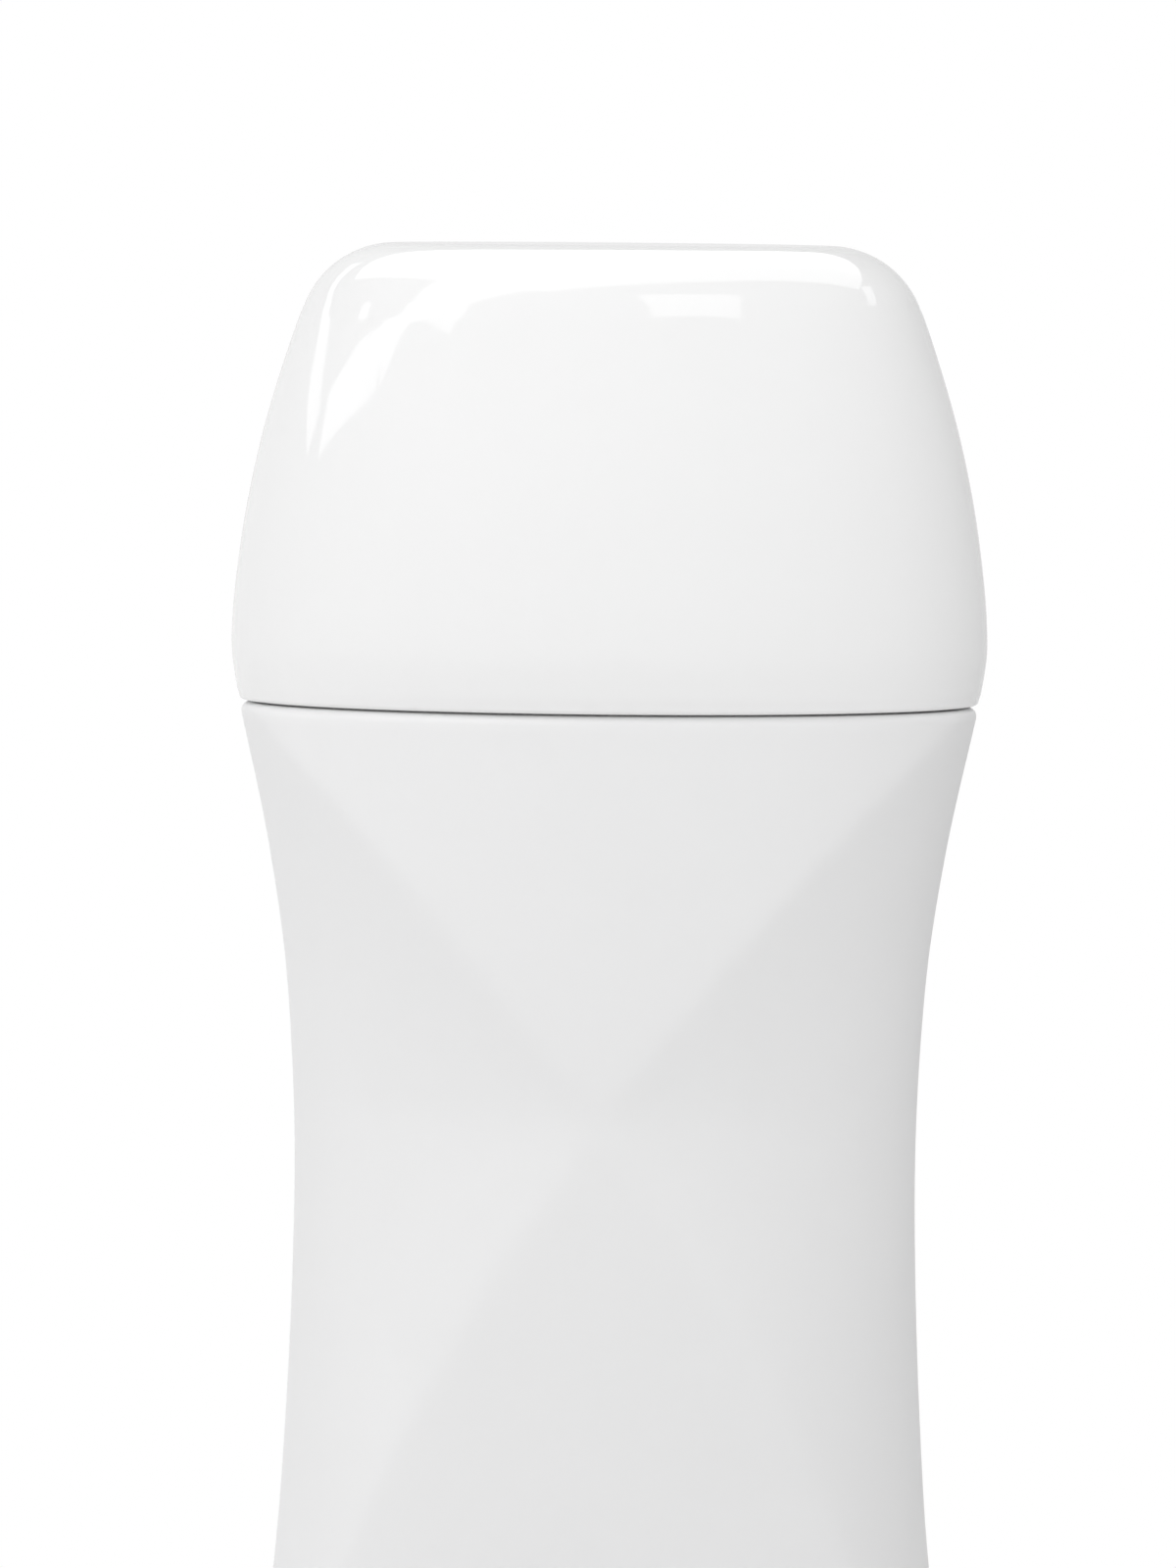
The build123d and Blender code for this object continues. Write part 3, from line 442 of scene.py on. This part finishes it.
def housing_satin_white():
    return moulded("housing_satin_white", (0.82, 0.82, 0.822), 0.42, grain=0.22, tone=0.006,
                   change=0.03, bump=0.12, bump_size=0.02, IOR=1.46)


def cap_gloss_white():
    return moulded("cap_gloss_white", (0.87, 0.87, 0.87), 0.035, grain=3.0, tone=0.004,
                   change=0.01, bump=0.015, bump_size=0.05, IOR=1.46)


def collar_white():
    return moulded("collar_white", (0.8, 0.8, 0.79), 0.35, grain=0.3)


def silicone_grey():
    return moulded("silicone_grey", (0.42, 0.43, 0.44), 0.75, grain=0.4, tone=0.05, bump=0.4)


def window_smoke():
    pane = moulded("window_smoke", (0.42, 0.45, 0.47), 0.06, grain=4.0, tone=0.01, change=0.02,
                   bump=0.03, IOR=1.49)
    return see_through(pane, 0.2, 0.9)


def cradle_black():
    return moulded("cradle_black", (0.03, 0.03, 0.033), 0.5, grain=0.35, tone=0.1, bump=0.4)


def sleeve_aluminium():
    return brushed("sleeve_aluminium", (0.78, 0.79, 0.8), 0.34, (900.0, 900.0, 25.0))


def steel():
    return brushed("steel", (0.62, 0.62, 0.63), 0.3, (1500.0, 1500.0, 1500.0))


def bezel_silver():
    return brushed("bezel_silver", (0.78, 0.78, 0.79), 0.24, (120.0, 2500.0, 120.0), tone=0.04)


def pin_nickel():
    return brushed("pin_nickel", (0.75, 0.72, 0.66), 0.22, (1800.0, 60.0, 1800.0))


def fuse_white():
    return moulded("fuse_white", (0.78, 0.78, 0.75), 0.55, grain=0.25, tone=0.05, bump=0.5)


def switch_black():
    return moulded("switch_black", (0.025, 0.025, 0.026), 0.42, grain=0.2, bump=0.4)


def light_clear():
    return moulded("light_clear", (0.85, 0.88, 0.92), 0.25, grain=0.5, change=0.05, bump=0.1,
                   Transmission_Weight=0.6, IOR=1.49)


def inlet_black():
    return moulded("inlet_black", (0.022, 0.022, 0.024), 0.42, grain=0.3, tone=0.15, bump=0.45)


def rubber_grey():
    return moulded("rubber_grey", (0.09, 0.09, 0.092), 0.78, grain=0.35, tone=0.12, bump=0.5)


def tank_clear():
    wall = moulded("tank_clear", (0.86, 0.87, 0.86), 0.16, grain=2.0, tone=0.01, change=0.05,
                   bump=0.08, IOR=1.49)
    return see_through(wall, 0.08, 0.6)


def head_white():
    return moulded("head_white", (0.82, 0.82, 0.81), 0.24, grain=0.8, bump=0.08)


def roller_white():
    return moulded("roller_white", (0.8, 0.8, 0.79), 0.16, grain=1.2, bump=0.05)


def button_white():
    return moulded("button_white", (0.81, 0.81, 0.812), 0.36, grain=0.22, tone=0.008, bump=0.15,
                   bump_size=0.02)


def mark_grey():
    return moulded("mark_grey", (0.2, 0.2, 0.21), 0.45, grain=0.2, bump=0.2, bump_size=0.02)


def insulation_felt():
    return moulded("insulation_felt", (0.72, 0.7, 0.63), 0.95, grain=0.12, tone=0.18, bump=1.0,
                   bump_size=0.15)


def striped(material, base, stripe, scale, axis, width):
    """Adds stripes of another colour across a material, such as the tracks of a heater film
    or of a board."""
    tree = material.node_tree
    shader = tree.nodes["Principled BSDF"]
    place = next(n for n in tree.nodes if n.type == "TEX_COORD")
    effect = next(n for n in tree.nodes if n.type == "GROUP")
    wave = add_node(tree, "TexWave", {"Scale": scale, "Distortion": 1.5, "Detail": 1.0,
                                      "Detail Scale": 2.0}, bands_direction=axis)
    tree.links.new(place.outputs["Object"], wave.inputs["Vector"])
    edge = add_node(tree, "ValToRGB")
    edge.color_ramp.interpolation = "CONSTANT"
    edge.color_ramp.elements[0].color = (*base, 1)
    edge.color_ramp.elements[1].position = width
    edge.color_ramp.elements[1].color = (*stripe, 1)
    tree.links.new(wave.outputs["Fac"], edge.inputs["Fac"])
    blend = add_node(tree, "MixRGB", {"Fac": 1.0}, blend_type="MULTIPLY")
    tree.links.new(effect.outputs["Color"], blend.inputs["Color1"])
    tree.links.new(edge.outputs["Color"], blend.inputs["Color2"])
    tree.links.new(blend.outputs["Color"], shader.inputs["Base Color"])
    return material


def element_ceramic():
    film = moulded("element_ceramic", (1.0, 1.0, 1.0), 0.3, grain=1.5, tone=0.04, bump=0.1)
    return striped(film, (0.42, 0.22, 0.05), (0.55, 0.36, 0.16), 130.0, "X", 0.6)


def board_green():
    mask = moulded("board_green", (1.0, 1.0, 1.0), 0.3, grain=1.0, tone=0.06, bump=0.1)
    return striped(mask, (0.012, 0.13, 0.055), (0.02, 0.2, 0.085), 160.0, "DIAGONAL", 0.62)


def wax_honey():
    """Set wax: amber, with depth, paler streaks and small bubbles."""
    wax = moulded("wax_honey", (0.80, 0.37, 0.035), 0.18, grain=6.0, tone=0.12, change=0.08,
                  bump=0.2, bump_size=0.3, Subsurface_Weight=0.35, Subsurface_Scale=0.005,
                  IOR=1.45)
    wax.node_tree.nodes["Principled BSDF"].inputs["Subsurface Radius"].default_value = (
        1.0, 0.45, 0.12)
    return wax


FINISHES = (housing_satin_white, cap_gloss_white, collar_white, silicone_grey, window_smoke,
            cradle_black, sleeve_aluminium, steel, bezel_silver, pin_nickel, fuse_white,
            switch_black, light_clear, inlet_black, rubber_grey, tank_clear, head_white,
            roller_white, button_white, insulation_felt, element_ceramic, board_green,
            wax_honey, mark_grey)
finishes = {make.__name__: make() for make in FINISHES}


# ---------------------------------------------------------------- housing
def shell_rows():
    """(height, inset) up the outside of a shell, over its rim and down the inside."""
    foot_round = [(FOOT_Z + SHELL_EDGE - rise, inset)
                  for inset, rise in reversed(quarter(SHELL_EDGE, EDGE_ROWS))]
    rim_round = [(SHELL_TOP - RIM_EDGE + rise, inset)
                 for inset, rise in quarter(RIM_EDGE, EDGE_ROWS)]
    low, high = FOOT_Z + SHELL_EDGE, SHELL_TOP - RIM_EDGE
    outside = [(low + (high - low) * i / OUTER_ROWS, 0.0) for i in range(1, OUTER_ROWS)]
    inside = [(SHELL_TOP + (FOOT_Z - SHELL_TOP) * i / INNER_ROWS, WALL)
              for i in range(INNER_ROWS + 1)]
    return foot_round + outside + rim_round + inside


def half_shell(surface, start_angle):
    """Half of the housing as a wall of even thickness, from parting line to parting line."""
    bm = bmesh.new()
    start = bm.verts.new((math.cos(start_angle), math.sin(start_angle), 0.0))
    bmesh.ops.spin(bm, geom=[start], cent=(0, 0, 0), axis=(0, 0, 1), angle=math.pi,
                   steps=SHELL_COLUMNS, use_merge=False, use_duplicate=False)
    first_row = list(bm.edges)
    last_row, place_of = grown_rows(bm, first_row, shell_rows())
    for vert, (z, inset) in place_of.items():
        at_parting = abs(vert.co.y) < NEAR
        x, y = surface(vert.co.x, vert.co.y, z)
        if at_parting and inset < WALL:
            inset = max(inset, PARTING_CUT)
        shrink = 1 - inset / math.hypot(x, y)
        vert.co = (x * shrink, 0.0 if at_parting else y * shrink, z)
    bmesh.ops.bridge_loops(bm, edges=first_row + last_row)
    open_edges = [e for e in bm.edges if e.is_boundary]
    bmesh.ops.holes_fill(bm, edges=open_edges)
    return bm


def build_front_shell():
    """The faceted half, with holes for the button's surround and the light."""
    front = to_object("housing_front", half_shell(front_surface, math.pi))
    holes = []
    for node in ("button_bezel", "light_guide"):
        low, high, middle = span(node)
        radius = (high.x - low.x) / 2 + FIT
        holes.append(to_object("hole", bar(oval(radius, radius), -2 * WAIST_HALF_DEPTH,
                                           -SCREW_WELL_SEAT, middle.z, HOLE_SEGMENTS)))
    combine(front, holes)
    dress(front, "housing", "housing_satin_white", "front_shell")


def screw_post(x, z):
    """A post inside the back shell, from the parting plane out into the wall."""
    outline = oval(SCREW_POST_RADIUS, SCREW_POST_RADIUS)
    post = stacked([upright(outline, PARTING_CUT, z),
                    upright(outline, -WALL / 2, z,
                            lambda across, height: back_depth(across + x, height))],
                   WELL_SEGMENTS)
    bmesh.ops.translate(post, vec=(x, 0, 0), verts=post.verts)
    return to_object("post", post)


def screw_well(x, z):
    """What is bored out of the back shell for a screw's head."""
    well = bar(oval(SCREW_WELL_RADIUS, SCREW_WELL_RADIUS), SCREW_WELL_SEAT,
               2 * WAIST_HALF_DEPTH, z, WELL_SEGMENTS)
    bmesh.ops.translate(well, vec=(x, 0, 0), verts=well.verts)
    return to_object("well", well)


def build_back_shell():
    """The plain half, with four screw wells, the window's slot and the inlet's opening."""
    back = to_object("housing_back", half_shell(back_surface, 0.0))
    low, high, _ = span("shell_screws")
    head_radius = SCREW_WELL_RADIUS - SCREW_HEAD_GAP
    places = [(x, z) for x in (low.x + head_radius, high.x - head_radius)
              for z in (low.z + head_radius, high.z - head_radius)]
    posts = [screw_post(x, z) for x, z in places]
    wells = [screw_well(x, z) for x, z in places]
    combine(back, posts, "UNION")
    low, high, middle = span("inlet_housing")
    slot = bar(oblong(WINDOW_WIDTH / 2, WINDOW_HEIGHT / 2, WINDOW_WIDTH / 2 - ROUND_END),
               SCREW_WELL_SEAT, 2 * WAIST_HALF_DEPTH, WINDOW_Z, SLOT_SEGMENTS)
    socket = bar(oblong((high.x - low.x) / 2 + FIT, (high.z - low.z) / 2 + FIT,
                        INLET_CORNER + FIT),
                 SCREW_WELL_SEAT, 2 * WAIST_HALF_DEPTH, middle.z, SLOT_SEGMENTS)
    combine(back, wells + [to_object("slot", slot), to_object("socket", socket)])
    dress(back, "housing", "housing_satin_white", "rear_shell")


# ---------------------------------------------------------------- cap
def cap_profile(inset):
    """(half width, height) up the cap's wall and round its shoulder, shrunk by an inset."""
    top, top_half_width = CAP_STATIONS[-1]
    slope = (CAP_STATIONS[-2][1] - top_half_width) / (top - CAP_STATIONS[-2][0])
    lean = math.atan(slope)
    radius = CAP_SHOULDER - inset
    reach = CAP_SHOULDER * math.tan((math.pi / 2 - lean) / 2)
    centre_w, centre_h = top_half_width - reach, top - CAP_SHOULDER
    start_h = centre_h + CAP_SHOULDER * math.sin(lean)
    rows = []
    for i in range(CAP_WALL_ROWS):
        h = start_h * i / CAP_WALL_ROWS
        rows.append((through(CAP_STATIONS, h) - inset, h))
    for i in range(CAP_SHOULDER_ROWS + 1):
        turn = lean + (math.pi / 2 - lean) * i / CAP_SHOULDER_ROWS
        rows.append((centre_w + radius * math.cos(turn), centre_h + radius * math.sin(turn)))
    return rows


def cap_ring(half_width, h):
    """A level ring of the cap at a height above its rim."""
    return level(oval(half_width, half_width - CAP_DEPTH_STEP), RIM_Z + CAP_GAP + h)


def crown_rings(half_width, h):
    """Rings that close the flat top evenly towards its middle."""
    shares = [1 - i / CAP_TOP_ROWS for i in range(1, CAP_TOP_ROWS)]
    return [level(oval(half_width * share, (half_width - CAP_DEPTH_STEP) * share),
                  RIM_Z + CAP_GAP + h) for share in shares]


def build_cap():
    """A closed shell, from the middle of its ceiling out, round the edge and up to the crown."""
    outside, inside = cap_profile(0.0), cap_profile(WALL)
    rim_half_width = outside[0][0]
    lower_edge = [(rim_half_width - inset, CAP_LOW + CAP_EDGE - rise)
                  for inset, rise in quarter(CAP_EDGE, EDGE_ROWS)]
    wall = [row for row in outside if row[1] > CAP_LOW + CAP_EDGE]
    inner_wall = [row for row in inside if row[1] > CAP_LOW]
    ceiling = inside[-1][1]
    rings = [level(oval(CROWN_CENTRE, CROWN_CENTRE), RIM_Z + CAP_GAP + ceiling)]
    rings += list(reversed(crown_rings(*inside[-1])))
    rings += [cap_ring(w, h) for w, h in reversed(inner_wall)]
    rings += [cap_ring(inside[0][0], CAP_LOW)]
    rings += [cap_ring(w, h) for w, h in reversed(lower_edge)]
    rings += [cap_ring(w, h) for w, h in wall]
    rings += crown_rings(*outside[-1])
    cap = to_object("cap_shell", stacked(rings, CAP_SEGMENTS))
    dress(cap, "cap", "cap_gloss_white", "cap")


# ---------------------------------------------------------------- button and its surround
def dish_depth(out, face_radius):
    """How deep the finger's hollow is at a distance from the button's axis."""
    return BUTTON_DISH * (1 - (out / face_radius) ** 2)


def build_button():
    """The button with its hollow, flange and stem, turned about its axis."""
    low, high, middle = span("power_button")
    flange_radius = (high.x - low.x) / 2
    radius = flange_radius - BUTTON_FLANGE
    face_radius = radius - BUTTON_EDGE
    top, back = low.y, span("button_bezel")[1].y + FLANGE_GAP
    outs = [face_radius * i / DISH_ROWS for i in range(DISH_ROWS + 1)]
    profile = [(out, top + dish_depth(out, face_radius)) for out in outs]
    profile += [(radius - inset, top + BUTTON_EDGE - rise)
                for inset, rise in reversed(quarter(BUTTON_EDGE, BUTTON_EDGE_ROWS))][1:]
    profile += [(radius, back), (flange_radius, back), (flange_radius, back + BUTTON_FLANGE),
                (BUTTON_STEM, back + BUTTON_FLANGE), (BUTTON_STEM, high.y), (0.0, high.y)]
    button = to_object("button_cap", turned(profile, middle.z))
    dress(button, "power_button", "button_white", "power_button")
    build_power_mark(top, middle.z, face_radius)


def build_power_mark(top, middle_z, face_radius):
    """An open ring with a bar, laid in the button's hollow."""
    bm = bmesh.new()
    start = math.radians(MARK_START)
    near, far = MARK_RADIUS - MARK_STROKE / 2, MARK_RADIUS + MARK_STROKE / 2
    corners = [(near, -MARK_RISE), (far, -MARK_RISE), (far, MARK_RISE), (near, MARK_RISE)]
    verts = [bm.verts.new((r * math.sin(start), y, r * math.cos(start))) for r, y in corners]
    face = bm.faces.new(verts)
    bmesh.ops.spin(bm, geom=[face], cent=(0, 0, 0), axis=(0, 1, 0),
                   angle=math.radians(MARK_SWEEP), steps=MARK_STEPS)
    stroke = bmesh.ops.create_cube(bm, size=1.0)["verts"]
    bmesh.ops.scale(bm, vec=(MARK_STROKE, 2 * MARK_RISE, MARK_RADIUS), verts=stroke)
    bmesh.ops.translate(bm, vec=(0, 0, MARK_RADIUS * MARK_BAR_RISE), verts=stroke)
    for vert in bm.verts:
        vert.co.y += top + dish_depth(math.hypot(vert.co.x, vert.co.z), face_radius)
        vert.co.z += middle_z
    mark = to_object("power_mark", bm)
    dress(mark, "power_button", "mark_grey")


def build_bezel():
    """The ring round the button, its face following the housing's."""
    low, high, middle = span("button_bezel")
    outer = (high.x - low.x) / 2
    inner = outer - BEZEL_WALL

    def face_ring(radius, rise):
        return upright(oval(radius, radius), BEZEL_EDGE - rise, middle.z,
                       lambda across, z: -front_depth(across, z))

    edge = quarter(BEZEL_EDGE, EDGE_ROWS)
    rings = [upright(oval(inner, inner), high.y, middle.z)]
    rings += [face_ring(inner + inset, rise) for inset, rise in edge]
    rings += [face_ring(outer - inset, rise) for inset, rise in reversed(edge)]
    rings += [upright(oval(outer, outer), high.y, middle.z)]
    bm = stacked(rings, BEZEL_SEGMENTS, closed=False)
    bmesh.ops.bridge_loops(bm, edges=[e for e in bm.edges if e.is_boundary])
    dress(to_object("bezel_ring", bm), "housing", "bezel_silver", "button_bezel")


# ---------------------------------------------------------------- mains inlet
def build_inlet():
    """The socket: its outside, the rounded face on the housing's curve, and the mouth."""
    low, high, middle = span("inlet_housing")
    half_width, half_height = (high.x - low.x) / 2, (high.z - low.z) / 2
    mouth_w, mouth_h = INLET_MOUTH[0] / 2, INLET_MOUTH[1] / 2
    mouth_corner = mouth_h - ROUND_END
    floor_y = main_depth(middle.z) - INLET_DEPTH
    edge = quarter(INLET_EDGE, EDGE_ROWS)
    rings = [upright(oblong(half_width, half_height, INLET_CORNER), low.y, middle.z)]
    rings += [upright(oblong(half_width - inset, half_height - inset, INLET_CORNER - inset),
                      rise - INLET_EDGE, middle.z, back_depth) for inset, rise in edge]
    rings += [upright(oblong(mouth_w + inset, mouth_h + inset, mouth_corner + inset),
                      rise - INLET_EDGE, middle.z, back_depth)
              for inset, rise in reversed(edge)]
    rings += [upright(oblong(mouth_w, mouth_h, mouth_corner), floor_y, middle.z)]
    inlet = to_object("inlet_socket", stacked(rings, INLET_SEGMENTS))
    dress(inlet, "housing", "inlet_black", "inlet_housing")


# ---------------------------------------------------------------- cartridge
def build_wax():
    """The block of wax: rounded below, its surface drawn up along the tank's wall."""
    low, high, _ = span("wax_fill")
    half_width, half_depth = (high.x - low.x) / 2, (high.y - low.y) / 2
    rings = [level(oblong(half_width - inset, half_depth - inset, WAX_CORNER - inset),
                   low.z + WAX_EDGE - rise)
             for inset, rise in reversed(quarter(WAX_EDGE, EDGE_ROWS))]
    rings += [level(oblong(half_width, half_depth, WAX_CORNER),
                    low.z + (high.z - low.z) * i / WAX_ROWS) for i in range(1, WAX_ROWS + 1)]
    for i in range(1, MENISCUS_ROWS):
        share = i / MENISCUS_ROWS
        inset = share * (half_depth - WAX_CROWN)
        drop = MENISCUS * (1 - math.exp(-MENISCUS_FALL * share))
        rings.append(level(oblong(half_width - inset, half_depth - inset,
                                  max(WAX_CORNER - inset, WAX_CROWN_CORNER)), high.z - drop))
    wax = to_object("wax_block", stacked(rings, WAX_SEGMENTS))
    dress(wax, "cartridge", "wax_honey", "wax_fill")


build_front_shell()
build_back_shell()
build_cap()
build_button()
build_bezel()
build_inlet()
build_wax()

# ---------------------------------------------------------------- materials on every node
for entry in frame["record"]["subparts"]:
    mesh = frame["nodes"][entry["node"]].data
    mesh.materials.clear()
    mesh.materials.append(finishes[entry["material_slot"]])

# ---------------------------------------------------------------- studio, in metres
TARGET = Vector((-2.0, 0.0, 132.4)) * MM        # what the camera looks at
VIEW_AZIMUTH, VIEW_ELEVATION, VIEW_ROLL = 1.5, 3.2, 0.5     # degrees
VIEW_DISTANCE, SENSOR_WIDTH = 1.30, 36          # the sensor in millimetres
NEAREST, FARTHEST = 0.05, 20                    # what the camera sees
PICTURE_HEIGHT = 155.7 * MM                     # height of the view at the target
AIM = Vector((0.0, -0.01, 0.15))                # what the soft boxes face
LIT, MIRRORED, BOTH = "lit", "mirrored", "both"
# A soft box gives light, is only mirrored by gloss, or does both.  Its row holds name, middles
# of its two ends, width, watts and use, and True where it faces straight down.
SOFT_BOXES = (
    ("overhead", (-0.92, -0.61, 0.88), (0.83, 0.55, 0.88), 0.28, 2.45, LIT),
    ("canopy_end", (-0.932, -0.618, 0.90), (-0.302, -0.158, 0.90), 0.35, 1.46, MIRRORED, True),
    ("canopy", (-0.480, 0.085, 0.90), (0.470, 0.720, 0.90), 1.06, 6.90, MIRRORED, True),
    ("canopy_tip", (0.75, 0.42, 0.90), (1.26, 0.27, 0.90), 0.16, 0.45, MIRRORED, True),
    ("panel", (0.105, -0.620, 0.965), (0.455, -0.495, 0.935), 0.30, 0.62, MIRRORED),
    ("arm_low", (-1.008, 0.057, 0.484), (-0.90, -0.283, 0.649), 0.11, 0.26, BOTH),
    ("arm_high", (-0.90, -0.283, 0.649), (-0.683, -0.406, 0.855), 0.12, 0.24, BOTH),
    ("back_arm_low", (-1.01, 0.15, 0.46), (-0.85, 0.47, 0.53), 0.08, 0.14, BOTH),
    ("back_arm_high", (-0.85, 0.47, 0.53), (-0.44, 0.74, 0.74), 0.08, 0.20, BOTH),
    ("spot", (-0.91, 0.02, 0.66), (-0.88, -0.05, 0.68), 0.08, 0.04, MIRRORED),
    ("left", (-0.97, -0.30, 0.38), (-0.97, 0.30, 0.38), 0.60, 2.80, LIT),
    ("right", (0.45, -0.70, 0.55), (0.80, -0.30, 0.55), 0.50, 1.30, LIT),
    ("side", (0.95, -0.10, 0.50), (0.95, 0.30, 0.50), 0.50, 0.12, LIT),
    ("top_right", (0.45, -0.15, 0.95), (0.65, 0.05, 0.95), 0.28, 0.50, LIT),
    ("behind", (0.45, 1.10, 0.45), (-0.45, 1.10, 0.45), 0.70, 1.50, LIT),
)
WORLD_LIGHT, WORLD_FRONT_LIGHT = 0.2, 0.98      # even, and more from straight ahead
DIM_WALL, DIM_WALL_SIDE = 0.7, (0.6, 0.8, 0.0)  # gloss sees a dimmer wall, behind to the right
DIM_WALL_START = 0.5                            # cosine of the angle at which it starts
FLOOR_RADIUS, FLOOR_SEGMENTS = 0.33, 96


def place_camera():
    data = bpy.data.cameras.new("camera")
    data.sensor_fit = "AUTO"
    data.sensor_width = SENSOR_WIDTH
    data.lens = SENSOR_WIDTH * VIEW_DISTANCE / PICTURE_HEIGHT
    data.clip_start, data.clip_end = NEAREST, FARTHEST
    camera = bpy.data.objects.new("camera", data)
    bpy.context.scene.collection.objects.link(camera)
    a, e = math.radians(VIEW_AZIMUTH), math.radians(VIEW_ELEVATION)
    back = Vector((math.sin(a) * math.cos(e), -math.cos(a) * math.cos(e), math.sin(e)))
    camera.location = TARGET + back * VIEW_DISTANCE
    turn = (-back).to_track_quat("-Z", "Y").to_matrix()
    camera.rotation_euler = (turn @ Matrix.Rotation(math.radians(VIEW_ROLL), 3, "Z")).to_euler()
    bpy.context.scene.camera = camera


def soft_box(name, start, end, width, watts, use, level=False):
    """A flat lamp between two points, turned to the object or straight down."""
    start, end = Vector(start), Vector(end)
    data = bpy.data.lights.new(name, "AREA")
    data.shape = "RECTANGLE"
    data.size, data.size_y = (end - start).length, width
    data.energy = watts
    lamp = bpy.data.objects.new(name, data)
    bpy.context.scene.collection.objects.link(lamp)
    lamp.location = (start + end) / 2
    lamp.visible_camera = False
    lamp.visible_diffuse = use != MIRRORED
    lamp.visible_glossy = use != LIT
    away = Vector((0, 0, 1)) if level else (lamp.location - AIM).normalized()
    along = (end - start).cross(away).cross(away).normalized() * -1
    lamp.rotation_euler = Matrix((along, away.cross(along), away)).transposed().to_euler()


def light_studio():
    """Soft boxes, and a world that lights evenly and shows as white."""
    for box in SOFT_BOXES:
        soft_box(*box)
    world = bpy.data.worlds.new("studio")
    bpy.context.scene.world = world
    world.use_nodes = True
    tree = world.node_tree
    tree.nodes.clear()
    link = tree.links.new
    place = add_node(tree, "TexCoord")
    ahead = add_node(tree, "VectorMath", {1: (0, -1, 0)}, operation="DOT_PRODUCT")
    link(place.outputs["Generated"], ahead.inputs[0])
    lit_strength = scaled_range(tree, ahead.outputs["Value"], 0.0, 1.0, WORLD_LIGHT,
                                WORLD_LIGHT + WORLD_FRONT_LIGHT)
    dim_side = add_node(tree, "VectorMath", {1: DIM_WALL_SIDE}, operation="DOT_PRODUCT")
    link(place.outputs["Generated"], dim_side.inputs[0])
    mirrored_strength = scaled_range(tree, dim_side.outputs["Value"], DIM_WALL_START, 1.0,
                                     1.0, DIM_WALL)
    path = add_node(tree, "LightPath")
    lit, mirrored, seen = (add_node(tree, "Background") for _ in range(3))
    link(lit_strength, lit.inputs["Strength"])
    link(mirrored_strength, mirrored.inputs["Strength"])
    clear_view = add_node(tree, "Math", operation="MAXIMUM")
    link(path.outputs["Is Camera Ray"], clear_view.inputs[0])
    link(path.outputs["Is Transmission Ray"], clear_view.inputs[1])
    gloss_or_lit, studio = add_node(tree, "MixShader"), add_node(tree, "MixShader")
    link(path.outputs["Is Glossy Ray"], gloss_or_lit.inputs[0])
    link(lit.outputs[0], gloss_or_lit.inputs[1])
    link(mirrored.outputs[0], gloss_or_lit.inputs[2])
    link(clear_view.outputs[0], studio.inputs[0])
    link(gloss_or_lit.outputs[0], studio.inputs[1])
    link(seen.outputs[0], studio.inputs[2])
    out = add_node(tree, "OutputWorld")
    link(studio.outputs[0], out.inputs["Surface"])
    for view in (lit, mirrored, seen):
        view.inputs["Color"].default_value = (1, 1, 1, 1)


def lay_floor():
    bm = bmesh.new()
    bmesh.ops.create_circle(bm, cap_ends=True, segments=FLOOR_SEGMENTS,
                            radius=FLOOR_RADIUS / MM)
    floor = to_object("floor", bm)
    floor.data.materials.append(moulded("floor_pale", (0.78, 0.78, 0.78), 0.8, grain=1.0,
                                        tone=0.01, bump=0.05))


place_camera()
light_studio()
lay_floor()
bpy.context.scene.view_settings.view_transform = "Standard"
